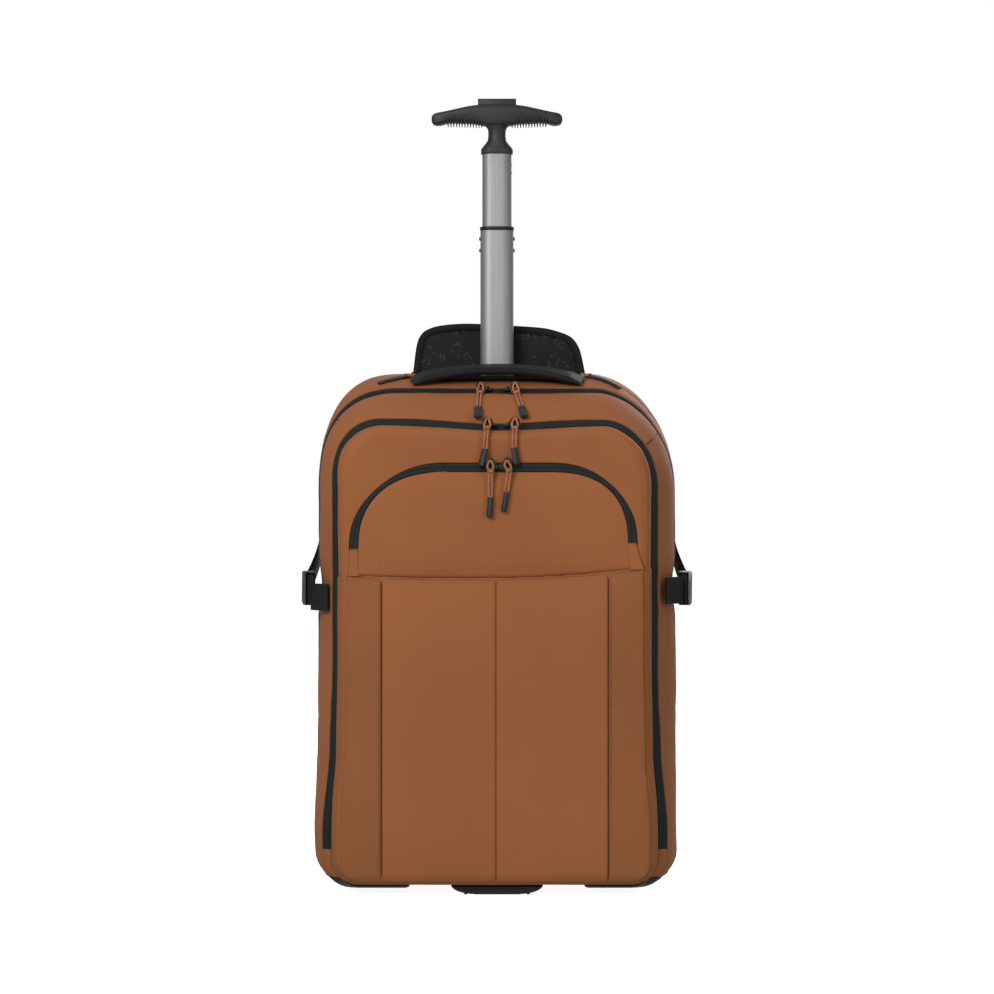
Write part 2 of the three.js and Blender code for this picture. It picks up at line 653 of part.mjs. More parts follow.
// Side compression straps with fastened side-release buckles
const strapZ = 283.5;
for (const [side, sign] of [["left", -1], ["right", 1]]) {
  const front = [[162.2, 35], [167.6, 42.5], [174, 50], [179.8, 58.5]].map(([x, d]) => [sign * x, d, strapZ]);
  add(`side_strap_${side}`, ribbon(stationsAlong(front, 6, [0, 0, 1], 26, 1.6)), "webbing");

  const socket = block(33, 9.5, 24, 3, 1.2, 2);
  const plug = block(31, 8.4, 19, 3, 1.2, 2);
  for (const [name, geometry, middle] of [["socket", socket, -11.2], ["plug", plug, 11]]) {
    geometry.rotateZ(Math.PI / 2);
    geometry.rotateX(-Math.PI / 2);
    geometry.translate(0, middle, 0);
    geometry.rotateZ(-sign * 0.17);
    geometry.translate(sign * 184.6, 82.5, strapZ + 8);
    add(`buckle_${name}_${side}`, geometry, "blackPlastic");
  }

  const rear = [[187.4, 110.5, 294], [184.4, 118, 299.5], [180, 130, 311], [177, 142, 322], [175.6, 152, 331]]
    .map(([x, d, z]) => [sign * x, d, z]);
  add(`side_strap_rear_${side}`, ribbon(stationsAlong(rear, 8, [0, -0.55, 0.85], 26, 1.6)), "webbing");
}

// Moulded guards round the two lower front corners
const guardThick = 3.2;
for (const [side, sign] of [["left", -1], ["right", 1]]) {
  const outer = solid(bodyLoft(12, 100, -(guardThick + clearance)));
  const cut = solid(bodyLoft(11, 101, -clearance));
  const near = sign < 0 ? box(-300, -84, 0, 110, 0, 27) : box(84, 300, 0, 110, 0, 27);
  add(`corner_guard_${side}`, geometryOf(outer.subtract(cut).intersect(solid(near))), "blackPlastic");
}

// Centre foot: a shallow round-bottomed pad that meets the floor
const footShape = new THREE.Shape();
footShape.moveTo(-44, 8.2);
footShape.quadraticCurveTo(-40, 0, -14, 0);
footShape.lineTo(14, 0);
footShape.quadraticCurveTo(40, 0, 44, 8.2);
footShape.closePath();
const foot = new THREE.ExtrudeGeometry(footShape, {
  depth: 24, bevelEnabled: true, bevelSize: 1, bevelThickness: 1, bevelSegments: 1, bevelOffset: -1, curveSegments: 8,
});
foot.rotateX(Math.PI / 2);
foot.translate(0, 44, 0);
add("centre_foot", foot, "rubber");

// Wheels in moulded housings at the lower rear corners
const wheelRadius = 31;
const wheelWidth = 22;
const wheelX = 129;
const wheelDepth = rearEnd + wheelRadius;
const cheek = 4;
const wheelRoom = 1.5;
for (const [side, sign] of [["left", -1], ["right", 1]]) {
  const x = sign * wheelX;
  const reach = wheelWidth / 2 + wheelRoom;
  const shell = block(2 * (reach + cheek), 76, wheelDepth + 12 - (rearEnd + clearance), 3, 1, 3);
  shell.rotateX(Math.PI / 2);
  shell.translate(x, (wheelDepth + 12 + rearEnd + clearance) / 2, 52);
  let housing = solid(shell);
  housing = housing.subtract(solid(cylinderX(wheelRadius + 3, x - reach, x + reach, wheelDepth, wheelRadius, 24)));
  housing = housing.subtract(solid(box(x - reach, x + reach, 150, wheelDepth + 40, 0, wheelRadius)));
  housing = housing.subtract(solid(box(x - reach, x + reach, wheelDepth, wheelDepth + 40, 0, wheelRadius + 29)));
  housing = housing.add(solid(cylinderX(4, x - reach - 1, x + reach + 1, wheelDepth, wheelRadius, 16)));
  add(`wheel_housing_${side}`, geometryOf(housing), "blackPlastic");

  const bore = 4.4;
  const profile = [
    [bore, -10], [21, -8.5], [23, -10.4], [29, -10.4], [31, -7.5],
    [31, 7.5], [29, 10.4], [23, 10.4], [21, 8.5], [bore, 10], [bore, -10],
  ];
  const wheel = new THREE.LatheGeometry(profile.map(([r, h]) => new THREE.Vector2(r, h)), 20);
  wheel.rotateZ(Math.PI / 2);
  wheel.translate(x, wheelDepth, wheelRadius);
  add(`wheel_${side}`, wheel, "rubber");
}

// Padded back and two shoulder straps
const padThick = 18;
const backPad = block(272, 386, padThick, 40, 5, 4);
backPad.rotateX(Math.PI / 2);
backPad.translate(0, rearEnd + clearance + padThick / 2, 287);
add("back_panel", backPad, "blackFabric");

const padRear = rearEnd + clearance + padThick;
for (const [side, sign] of [["left", -1], ["right", 1]]) {
  const route = [
    [42, padRear + 7, 466], [50, padRear + 11, 420], [66, padRear + 13, 360], [84, padRear + 14, 300],
    [98, padRear + 12, 240], [104, padRear + 7.4, 196],
  ].map(([x, d, z]) => [sign * x, d, z]);
  const strap = stationsAlong(route, 12, [1, 0, 0], (t) => 62 - 22 * t, (t) => 12 - 3 * t);
  add(`shoulder_strap_${side}`, ribbon(strap, 0.8), "blackFabric");

  const ladder = block(34, 22, 5, 3, 1, 1);
  ladder.rotateX(Math.PI / 2);
  ladder.translate(sign * 105.5, padRear + 5.5, 180);
  add(`strap_adjuster_${side}`, ladder, "blackPlastic");

  const lower = [
    [106.5, padRear + 4, 166], [110, padRear + 3.2, 148], [116, padRear + 2.4, 126], [122, padRear + 1.6, 104],
  ].map(([x, d, z]) => [sign * x, d, z]);
  add(`strap_webbing_${side}`, ribbon(stationsAlong(lower, 6, [1, 0, 0], 25, 1.6)), "webbing");
}

export default backpack;
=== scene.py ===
import math

import bmesh
import bpy
from mathutils import Matrix, Vector, noise


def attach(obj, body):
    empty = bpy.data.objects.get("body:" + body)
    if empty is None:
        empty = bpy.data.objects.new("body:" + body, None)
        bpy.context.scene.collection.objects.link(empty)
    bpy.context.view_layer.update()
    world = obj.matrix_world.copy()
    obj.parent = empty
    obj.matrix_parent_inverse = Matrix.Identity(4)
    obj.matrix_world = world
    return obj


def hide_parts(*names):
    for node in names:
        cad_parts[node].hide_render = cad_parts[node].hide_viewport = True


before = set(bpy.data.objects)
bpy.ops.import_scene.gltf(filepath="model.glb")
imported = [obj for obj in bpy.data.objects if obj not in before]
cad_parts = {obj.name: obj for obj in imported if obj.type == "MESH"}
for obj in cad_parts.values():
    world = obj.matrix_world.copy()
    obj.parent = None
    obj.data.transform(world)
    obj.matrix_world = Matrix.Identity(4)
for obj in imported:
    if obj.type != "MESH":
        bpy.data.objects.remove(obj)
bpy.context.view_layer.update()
mm = 0.001
frontY = -106  # the front panel's place in the frame, mm; a depth is counted back from it
bodyCentre = Vector((0, -0.026, 0.25))


def place(x, depth, z):
    return Vector((x, depth + frontY, z)) * mm


def clamp(value):
    return min(1.0, max(0.0, value))


def eased(t):
    return t * t * (3 - 2 * t)


def link(obj):
    bpy.context.scene.collection.objects.link(obj)
    return obj


# ---- camera, floor and light

view = {"lens": 114.4, "distance": 3.0, "height": 0.380}
studio = {
    "surround": 0.44, "floorTone": 0.9, "floorGlow": 0.9,
    # place, target, size and power
    "lights": {"keyLight": ((-1.2, -2.3, 1.6), (0, 0, 0.4), (1.2, 1.2), 54),
               "fillLight": ((1.9, -2.3, 1.1), (0, 0, 0.35), (1.2, 1.6), 15),
               "rearLight": ((0.7, 2.6, 1.2), (0, 0, 0.35), (1.8, 1.8), 48),
               "topLight": ((0, 0.2, 2.6), (0, 0, 0.3), (2.4, 2.4), 3)},
}

cameraData = bpy.data.cameras.new("photoCamera")
cameraData.lens = view["lens"]
cameraData.sensor_width = 36
camera = bpy.data.objects.new("photoCamera", cameraData)
camera.location = (0, frontY * mm - view["distance"], view["height"])
camera.rotation_euler = (math.pi / 2, 0, 0)
link(camera)
bpy.context.scene.camera = camera
bpy.context.scene.view_settings.view_transform = "Standard"


def softLight(name, at, target, size, power):
    data = bpy.data.lights.new(name, "AREA")
    data.shape = "RECTANGLE"
    data.size, data.size_y = size
    data.energy = power
    lamp = bpy.data.objects.new(name, data)
    lamp.location = at
    lamp.rotation_euler = (Vector(target) - Vector(at)).to_track_quat("-Z", "Y").to_euler()
    link(lamp)


for name, values in studio["lights"].items():
    softLight(name, *values)


# ---- nodes

def addNode(tree, kind, inputs=None, **settings):
    made = tree.nodes.new(kind)
    for key, value in settings.items():
        setattr(made, key, value)
    for key, value in (inputs or {}).items():
        if isinstance(value, bpy.types.NodeSocket):
            tree.links.new(value, made.inputs[key])
        else:
            made.inputs[key].default_value = value
    return made


def startMaterial(name, **shader):
    material = bpy.data.materials.new(name)
    material.use_nodes = True
    tree = material.node_tree
    surface = tree.nodes["Principled BSDF"]
    for key, value in shader.items():
        socket = {"metal": "Metallic", "rough": "Roughness", "sheen": "Sheen Weight",
                  "sheenRough": "Sheen Roughness", "specular": "Specular IOR Level",
                  "brushed": "Anisotropic"}[key]
        surface.inputs[socket].default_value = value
    return material, tree, surface


def objectPoint(tree, scale=(1, 1, 1), turn=(0, 0, 0)):
    source = addNode(tree, "ShaderNodeTexCoord")
    return addNode(tree, "ShaderNodeMapping", {"Vector": source.outputs["Object"], "Scale": scale,
                                               "Rotation": turn}).outputs[0]


def clothPoint(tree, turn=0.0):
    source = addNode(tree, "ShaderNodeUVMap", uv_map="cloth")
    turned = {"Vector": source.outputs[0], "Rotation": (0, 0, turn)}
    return addNode(tree, "ShaderNodeMapping", turned).outputs[0]


def cloudAt(tree, vector, scale, detail):
    values = {"Vector": vector, "Scale": scale, "Detail": detail}
    return addNode(tree, "ShaderNodeTexNoise", values).outputs["Fac"]


def spread(tree, vector, scale, low, high, detail):
    # mottled colour between two tones
    ramp = addNode(tree, "ShaderNodeValToRGB", {"Fac": cloudAt(tree, vector, scale, detail)})
    for element, position, tone in zip(ramp.color_ramp.elements, (0.3, 0.7), (low, high)):
        element.position = position
        element.color = (*tone, 1)
    return ramp.outputs["Color"]


def threads(tree, vector, width, direction):
    return addNode(tree, "ShaderNodeTexWave", {"Vector": vector, "Scale": 0.314 / width, "Distortion": 0.6,
                                               "Detail": 1.0}, bands_direction=direction).outputs["Fac"]


def maths(tree, operation, a, b):
    return addNode(tree, "ShaderNodeMath", {0: a, 1: b}, operation=operation).outputs[0]


def remap(tree, value, low, high):
    return addNode(tree, "ShaderNodeMapRange", {"Value": value, "To Min": low, "To Max": high}).outputs[0]


def darkened(tree, colour, factor, dark):
    mix = addNode(tree, "ShaderNodeMix", {"Factor": factor}, data_type="RGBA")
    tree.links.new(colour, mix.inputs[6])
    mix.inputs[7].default_value = (*dark, 1)
    return mix.outputs[2]


def finishShader(tree, surface, colour, cloud, rough, height, strength, distance):
    # colour, roughness and relief, each into its socket
    tree.links.new(colour, surface.inputs["Base Color"])
    tree.links.new(remap(tree, cloud, *rough), surface.inputs["Roughness"])
    bump = addNode(tree, "ShaderNodeBump", {"Strength": strength, "Distance": distance, "Height": height})
    tree.links.new(bump.outputs[0], surface.inputs["Normal"])


def clothMaterial(name, low, high, thread, depth, twill=False, rough=(0.6, 0.74), onObject=False,
                  seamAndShadeTone=(0.03, 0.008, 0.003), sheen=0.02):
    material, tree, surface = startMaterial(name, sheen=sheen, sheenRough=0.5, specular=0.16)
    point = objectPoint(tree)
    flat = point if onObject else clothPoint(tree, 0.62 if twill else 0.0)
    across = threads(tree, flat, thread, "X")
    along = threads(tree, flat, thread * (3.2 if twill else 1), "Z" if onObject else "Y")
    woven = maths(tree, "ADD", across, maths(tree, "MULTIPLY", along, 0.35 if twill else 1.0))
    colour = spread(tree, point, 7, low, high, 5)
    # painted shade: the colour darkens in the hollows between the threads, the low parts of the same relief
    # that the bump uses
    colour = darkened(tree, colour, remap(tree, woven, 0.12, 0.0), tuple(0.45 * tone for tone in low))
    # the seam attribute darkens the colour towards the given dark tone: partly real seam lines, partly
    # painted shade in the tucks, grooves and crevices that it marks
    seamAndShadeMark = addNode(tree, "ShaderNodeAttribute", attribute_name="seam").outputs["Fac"]
    colour = darkened(tree, colour, seamAndShadeMark, seamAndShadeTone)
    height = maths(tree, "ADD", woven, cloudAt(tree, point, 900, 2.0))
    finishShader(tree, surface, colour, cloudAt(tree, point, 40, 4.0), rough, height, 0.5, depth)
    return material


orangeCloth = clothMaterial("orangeCloth", (0.262, 0.088, 0.0285), (0.298, 0.103, 0.034), 0.0007, 0.00006)
orangeTwill = clothMaterial("orangeTwill", (0.228, 0.082, 0.028), (0.262, 0.094, 0.033), 0.0011, 0.00016,
                            twill=True)
blackCloth = clothMaterial("blackCloth", (0.0060, 0.0060, 0.0062), (0.0090, 0.0090, 0.0094), 0.0009, 0.00014,
                           seamAndShadeTone=(0.003, 0.003, 0.003))
meshCloth = clothMaterial("meshCloth", (0.008, 0.008, 0.0085), (0.012, 0.012, 0.0125), 0.0022, 0.0004,
                          onObject=True, seamAndShadeTone=(0.003, 0.003, 0.003))
webbing = clothMaterial("webbing", (0.0065, 0.0065, 0.007), (0.0100, 0.0100, 0.0104), 0.0013, 0.00025,
                        seamAndShadeTone=(0.003, 0.003, 0.003), rough=(0.5, 0.66))
zipTape = clothMaterial("zipTape", (0.0115, 0.0135, 0.0135), (0.0155, 0.0180, 0.0180), 0.0008, 0.00005,
                        rough=(0.5, 0.62), seamAndShadeTone=(0.002, 0.002, 0.002), sheen=0.0)
liningBase = clothMaterial("liningCloth", (0.0075, 0.0075, 0.0075), (0.0105, 0.0105, 0.0105), 0.0008, 0.00008,
                           seamAndShadeTone=(0.004, 0.004, 0.004))
threadOrange = clothMaterial("threadOrange", (0.16, 0.055, 0.02), (0.22, 0.075, 0.027), 0.0004, 0.00004,
                             onObject=True)
# dark brown for the shoulder seams: partly seam thread, partly painted shade in the seam
seamLineAndShade = clothMaterial("seamLineAndShade", (0.045, 0.014, 0.005), (0.07, 0.022, 0.008), 0.0004, 0.00004,
                           onObject=True)
threadBlack = clothMaterial("threadBlack", (0.012, 0.012, 0.0125), (0.018, 0.018, 0.0185), 0.0004, 0.00004,
                            onObject=True)


def plasticMaterial(name, low, high, rough, grainSize, grainDepth, specular=0.5):
    material, tree, surface = startMaterial(name, specular=specular)
    point = objectPoint(tree)
    colour = spread(tree, point, 30, low, high, 4)
    cells = {"Vector": point, "Scale": 1 / grainSize}
    grain = addNode(tree, "ShaderNodeTexVoronoi", cells).outputs["Distance"]
    finishShader(tree, surface, colour, cloudAt(tree, point, 55, 5.0), rough, grain, 0.4, grainDepth)
    return material


blackPlastic = plasticMaterial("blackPlastic", (0.0065, 0.0065, 0.0068), (0.0095, 0.0095, 0.01), (0.42, 0.56),
                               0.0012, 0.00008, specular=0.3)
gripPlastic = plasticMaterial("gripPlastic", (0.0135, 0.0135, 0.0130), (0.0185, 0.0185, 0.0179), (0.48, 0.6),
                              0.0008, 0.0001, specular=0.4)
mouldedRubber = plasticMaterial("mouldedRubber", (0.017, 0.019, 0.0195), (0.024, 0.0268, 0.0274), (0.5, 0.62),
                                0.0007, 0.00006, specular=0.35)
wheelRubber = plasticMaterial("wheelRubber", (0.012, 0.0115, 0.011), (0.020, 0.019, 0.018), (0.62, 0.8),
                              0.001, 0.0001, specular=0.3)


def metalMaterial(name, low, high, rough, grain):
    material, tree, surface = startMaterial(name, metal=1.0, brushed=0.35)
    streak = objectPoint(tree, scale=grain)
    fine = cloudAt(tree, streak, 2.0, 5.0)
    finishShader(tree, surface, spread(tree, streak, 1.0, low, high, 4), fine, rough, fine, 0.25, 0.00003)
    return material


brushedAluminium = metalMaterial("brushedAluminium", (0.235, 0.235, 0.230), (0.275, 0.275, 0.270), (0.5, 0.6),
                                 (900, 900, 14))
blackMetal = plasticMaterial("blackMetal", (0.006, 0.006, 0.0065), (0.010, 0.010, 0.0105), (0.2, 0.32), 0.002,
                             0.00003)
darkMetal = metalMaterial("darkMetal", (0.05, 0.05, 0.055), (0.09, 0.09, 0.095), (0.3, 0.45), (500, 500, 500))


def cordMaterial():
    material, tree, surface = startMaterial("cordBraid", sheen=0.2, specular=0.35)
    colour = spread(tree, objectPoint(tree), 260, (0.29, 0.088, 0.028), (0.44, 0.15, 0.055), 2)
    left, right = (threads(tree, objectPoint(tree, turn=(0, turn, 0)), 0.0009, "Z") for turn in (0.7, -0.7))
    braid = maths(tree, "MAXIMUM", left, right)
    # painted shade: the colour darkens in the hollows between the braid's strands
    colour = darkened(tree, colour, remap(tree, braid, 0.55, 0.0), (0.09, 0.028, 0.01))
    finishShader(tree, surface, colour, braid, (0.75, 0.55), braid, 0.6, 0.0002)
    return material


cordBraid = cordMaterial()


def liningPattern():
    # scattered short pale strokes on the dark lining
    tree = liningBase.node_tree
    surface = tree.nodes["Principled BSDF"]
    before = surface.inputs["Base Color"].links[0].from_socket
    line = None
    for turn, stretch in ((0.5, (62, 0, 400)), (-0.62, (70, 0, 430)), (1.45, (66, 0, 410))):
        turned = objectPoint(tree, turn=(0, turn, 0))
        point = addNode(tree, "ShaderNodeMapping", {"Vector": turned, "Scale": stretch}).outputs[0]
        stroke = addNode(tree, "ShaderNodeTexVoronoi", {"Vector": point, "Scale": 1.0, "Randomness": 0.9})
        stroke = maths(tree, "LESS_THAN", stroke.outputs["Distance"], 0.21)
        line = stroke if line is None else maths(tree, "MAXIMUM", line, stroke)
    patch = cloudAt(tree, objectPoint(tree), 60, 0.0)
    line = maths(tree, "MULTIPLY", line, maths(tree, "GREATER_THAN", patch, 0.5))
    tone = maths(tree, "MULTIPLY", line, 0.5)
    mixed = darkened(tree, before, tone, (0.085, 0.08, 0.075))
    tree.links.new(mixed, surface.inputs["Base Color"])
    return liningBase


liningCloth = liningPattern()


def stageMaterials():
    floorLook, tree, surface = startMaterial("floorPaint", rough=0.8, specular=0.2)
    tone = studio["floorTone"]
    colour = spread(tree, objectPoint(tree), 2, (tone, tone, tone), (tone + 0.01,) * 3, 3)
    tree.links.new(colour, surface.inputs["Base Color"])
    surface.inputs["Emission Color"].default_value = (1, 1, 1, 1)
    surface.inputs["Emission Strength"].default_value = studio["floorGlow"]
    world = bpy.data.worlds.new("studioWorld")
    world.use_nodes = True
    bpy.context.scene.world = world
    tree = world.node_tree
    tree.nodes.clear()
    seen = addNode(tree, "ShaderNodeBackground", {"Color": (1, 1, 1, 1), "Strength": 1.0})
    lit = addNode(tree, "ShaderNodeBackground", {"Color": (1, 1, 1, 1), "Strength": studio["surround"]})
    rays = addNode(tree, "ShaderNodeLightPath")
    mix = addNode(tree, "ShaderNodeMixShader", {0: rays.outputs["Is Camera Ray"], 1: lit.outputs[0],
                                                2: seen.outputs[0]})
    addNode(tree, "ShaderNodeOutputWorld", {"Surface": mix.outputs[0]})
    return floorLook


floorLook = stageMaterials()
bpy.ops.mesh.primitive_plane_add(size=14, location=(0, 0, -0.0004))
floor = bpy.context.object
floor.name = "studioFloor"
floor.data.materials.append(floorLook)
floor.visible_diffuse = False  # a pale floor that throws little light back up
floor.visible_glossy = False
print("Stage: camera, light and materials are set")


# ---- helpers for meshes

def pick(*objects):
    if bpy.context.object and bpy.context.object.mode != "OBJECT":
        bpy.ops.object.mode_set(mode="OBJECT")
    bpy.ops.object.select_all(action="DESELECT")
    for obj in objects:
        obj.select_set(True)
    bpy.context.view_layer.objects.active = objects[0]


def applyModifiers(obj):
    pick(obj)
    for name in [m.name for m in obj.modifiers]:
        bpy.ops.object.modifier_apply(modifier=name)


def enterEdit(kind=None):
    # edit mode with everything selected
    bpy.ops.object.mode_set(mode="EDIT")
    if kind:
        bpy.ops.mesh.select_mode(type=kind)
    bpy.ops.mesh.select_all(action="SELECT")


def turnOutward(obj):
    pick(obj)
    enterEdit()
    bpy.ops.mesh.normals_make_consistent(inside=False)
    bpy.ops.object.mode_set(mode="OBJECT")


def addModifier(obj, kind, **settings):
    made = obj.modifiers.new(kind.lower(), kind)
    for key, value in settings.items():
        setattr(made, key, value)
    return made


def finishPiece(obj, material, body="bag", stands=(), angle=40):
    for one in (material if isinstance(material, (list, tuple)) else [material]):
        obj.data.materials.append(one)
    pick(obj)
    bpy.ops.object.transform_apply(location=True, rotation=True, scale=True)
    bpy.ops.object.shade_smooth_by_angle(angle=math.radians(angle))
    if stands:
        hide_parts(*stands)
    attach(obj, body)
    return obj


def newObject(name, points, faces):
    mesh = bpy.data.meshes.new(name)
    mesh.from_pydata([tuple(p) for p in points], [], faces)
    mesh.update()
    return link(bpy.data.objects.new(name, mesh))


def drawCurve(name, path, radius, resolution):
    curve = bpy.data.curves.new(name, "CURVE")
    curve.dimensions = "3D"
    curve.bevel_depth = radius * mm
    curve.bevel_resolution = resolution
    curve.use_fill_caps = True
    spline = curve.splines.new("POLY")
    spline.points.add(len(path) - 1)
    for point, spot in zip(spline.points, path):
        point.co = (*spot, 1)
    return link(bpy.data.objects.new(name, curve))


def lengths(points):
    total = [0.0]
    for a, b in zip(points, points[1:]):
        total.append(total[-1] + (b - a).length)
    return total


def resample(points, count):
    along = lengths(points)
    found, k = [], 0
    for i in range(count):
        want = along[-1] * i / (count - 1)
        while k < len(points) - 2 and along[k + 1] < want:
            k += 1
        gap = along[k + 1] - along[k]
        found.append(points[k].lerp(points[k + 1], (want - along[k]) / gap if gap > 0 else 0))
    return found


def smoothPath(points, count):
    points = [Vector(p) for p in points]
    ends = [points[0] * 2 - points[1], *points, points[-1] * 2 - points[-2]]
    dense = []
    for a, b, c, d in zip(ends, ends[1:], ends[2:], ends[3:]):
        for i in range(24):
            t = i / 24
            dense.append(0.5 * (2 * b + (c - a) * t + (2 * a - 5 * b + 4 * c - d) * t * t
                                + (3 * b - a - 3 * c + d) * t * t * t))
    dense.append(points[-1])
    return resample(dense, count)


def gridFaces(high, wide, closed):
    span = wide if closed else wide - 1
    faces = []
    for r in range(high - 1):
        for c in range(span):
            n = (c + 1) % wide
            faces.append([r * wide + c, r * wide + n, (r + 1) * wide + n, (r + 1) * wide + c])
    return faces


def clothSheet(name, rows, closed=False, lift=None, seam=None, centre=bodyCentre, flatUv=False, capped=False):
    # rows of points to a surface; lift moves each point along its normal, seam marks the darker lines: partly
    # seam lines, partly painted shade in tucks and grooves
    high, wide = len(rows), len(rows[0])
    grid = [[Vector(p) for p in row] for row in rows]
    if lift:
        normals, agree = [], 0.0
        for r in range(high):
            line = []
            for c in range(wide):
                left = grid[r][(c - 1) % wide if closed else max(0, c - 1)]
                right = grid[r][(c + 1) % wide if closed else min(wide - 1, c + 1)]
                up = grid[min(high - 1, r + 1)][c] - grid[max(0, r - 1)][c]
                line.append((right - left).cross(up).normalized())
                agree += line[-1].dot(grid[r][c] - centre)
            normals.append(line)
        sign = 1 if agree > 0 else -1
        grid = [[grid[r][c] + normals[r][c] * sign * lift(r, c, grid[r][c]) for c in range(wide)]
                for r in range(high)]
    faces = gridFaces(high, wide, closed)
    points = [p for row in grid for p in row]
    agree = 0.0
    for a, b, c, d in faces:
        turn = (points[c] - points[a]).cross(points[d] - points[b])
        agree += turn.dot(points[a] - centre)
    if capped:
        faces.append([(high - 1) * wide + c for c in range(wide)][::-1])
    if agree < 0:
        faces = [face[::-1] for face in faces]
    obj = newObject(name, points, faces)
    uv = obj.data.uv_layers.new(name="cloth")
    if flatUv:
        spots = [(p.x, p.z) for p in points]
    else:
        along = [lengths(row) for row in grid]
        down = [lengths([grid[r][c] for r in range(high)]) for c in range(wide)]
        spots = [(along[r][c], down[c][r]) for r in range(high) for c in range(wide)]
    for loop in obj.data.loops:
        uv.data[loop.index].uv = spots[loop.vertex_index]
    if closed and not flatUv:
        for face in obj.data.polygons:
            cornerUs = [uv.data[i].uv[0] for i in face.loop_indices]
            if len(cornerUs) == 4 and max(cornerUs) - min(cornerUs) > 0.2:
                for i in face.loop_indices:
                    if uv.data[i].uv[0] < 0.1:
                        uv.data[i].uv = (max(cornerUs) + 0.004, uv.data[i].uv[1])
    # darker lines: partly seam lines, partly painted shade in tucks and grooves
    if seam:
        seamAndShadeMark = obj.data.attributes.new("seam", "FLOAT", "POINT")
        for r in range(high):
            for c in range(wide):
                seamAndShadeMark.data[r * wide + c].value = seam(r, c, grid[r][c])
    return obj


def thicken(obj, thickness, innerSlot=0):
    addModifier(obj, "SOLIDIFY", thickness=thickness, offset=-1.0, use_even_offset=False,
                material_offset=innerSlot, material_offset_rim=0)
    applyModifiers(obj)
    return obj


def clothShell(name, rows, node, thick, lift, seam, capped=False):
    # a closed shell, orange outside and black inside
    obj = clothSheet(name, rows, closed=True, lift=lift, seam=seam, capped=capped)
    thicken(obj, thick * mm, innerSlot=1)
    return finishPiece(obj, (orangeCloth, blackCloth), stands=(node,), angle=70)


def wander(point, size, height, seed=0.0):
    return noise.noise(Vector(point) / size + Vector((seed, seed * 1.7, seed * 0.3))) * height


def bell(distance, width):
    return math.exp(-((distance / width) ** 2))


stitch = {"pitch": 3.4, "length": 2.5, "radius": 0.3, "sunk": 0.25, "sides": 5}


def stitches(name, path, normals, material=threadOrange):
    # a row of short threads lying on a surface
    spots = resample(path, max(3, int(lengths(path)[-1] / (stitch["pitch"] * mm)) + 1))
    points, faces = [], []
    sides = stitch["sides"]
    for i in range(len(spots) - 1):
        along = (spots[i + 1] - spots[i]).normalized()
        share = i / (len(spots) - 1) * (len(normals) - 1)
        normal = normals[int(share)].lerp(normals[min(len(normals) - 1, int(share) + 1)], share % 1)
        side = along.cross(normal).normalized()
        up = side.cross(along)
        base = len(points)
        reach = along * stitch["length"] * mm
        points.append(spots[i] - up * stitch["sunk"] * mm)
        for t in (0.18, 0.82):
            for turn in range(sides):
                angle = turn / sides * 2 * math.pi
                points.append(spots[i] + reach * t + (side * math.cos(angle) + up * (0.5 + math.sin(angle)))
                              * stitch["radius"] * mm)
        points.append(spots[i] + reach - up * stitch["sunk"] * mm)
        for turn in range(sides):
            n = (turn + 1) % sides
            faces += [[base, base + 1 + turn, base + 1 + n],
                      [base + 1 + turn, base + 6 + turn, base + 6 + n, base + 1 + n],
                      [base + 6 + turn, base + 11, base + 6 + n]]
    obj = newObject(name, points, faces)
    turnOutward(obj)
    return finishPiece(obj, material, angle=60)


def strapStations(path, across, width, thick):
    # width and thick may change along the path, given as functions of 0 to 1
    stations = []
    last = len(path) - 1
    for i, at in enumerate(path):
        t = i / last
        along = (path[min(last, i + 1)] - path[max(0, i - 1)]).normalized()
        side = Vector(across)
        side = (side - along * side.dot(along)).normalized()
        stations.append((at, side, along.cross(side),
                         width(t) if callable(width) else width, thick(t) if callable(thick) else thick))
    return stations


def strapBody(name, stations, steps=24, power=4.0, lift=None):
    # a closed strap: rounded flat sections carried along the stations
    rows = []
    for k, (at, side, normal, width, thick) in enumerate(stations):
        row = []
        for i in range(steps):
            angle = 2 * math.pi * i / steps
            c, s = math.cos(angle), math.sin(angle)
            a = math.copysign(abs(c) ** (2 / power), c) * width / 2
            b = math.copysign(abs(s) ** (2 / power), s) * thick / 2
            extra = lift(k, a / (width / 2), b / (thick / 2)) if lift else 0.0
            b += math.copysign(extra, b)
            row.append(at + (side * a + normal * b) * mm)
        rows.append(row)
    points = [p for row in rows for p in row]
    faces = gridFaces(len(rows), steps, True)
    faces.append(list(range(steps))[::-1])
    faces.append([(len(rows) - 1) * steps + c for c in range(steps)])
    obj = newObject(name, points, faces)
    uv = obj.data.uv_layers.new(name="cloth")
    down = lengths([s[0] for s in stations])
    for loop in obj.data.loops:
        r = loop.vertex_index // steps
        at, side = stations[r][:2]
        uv.data[loop.index].uv = ((points[loop.vertex_index] - at).dot(side) + 0.1, down[r])
    turnOutward(obj)
    return obj


def layWebbing(name, node, path, across, width, thick):
    obj = strapBody(name, strapStations(path, across, width, thick), 36, 8.0)
    return finishPiece(obj, webbing, stands=(node,), angle=60)


# ---- helpers for hard pieces

def startBlock(name, size, at=(0, 0, 0)):
    # a block in mm at a place in the frame, ready to be shaped
    bpy.ops.object.select_all(action="DESELECT")
    bpy.ops.mesh.primitive_cube_add(size=1, location=Vector(at) * mm)
    obj = bpy.context.object
    obj.name = name
    obj.scale = Vector(size) * mm
    bpy.ops.object.transform_apply(location=True, rotation=True, scale=True)
    return obj


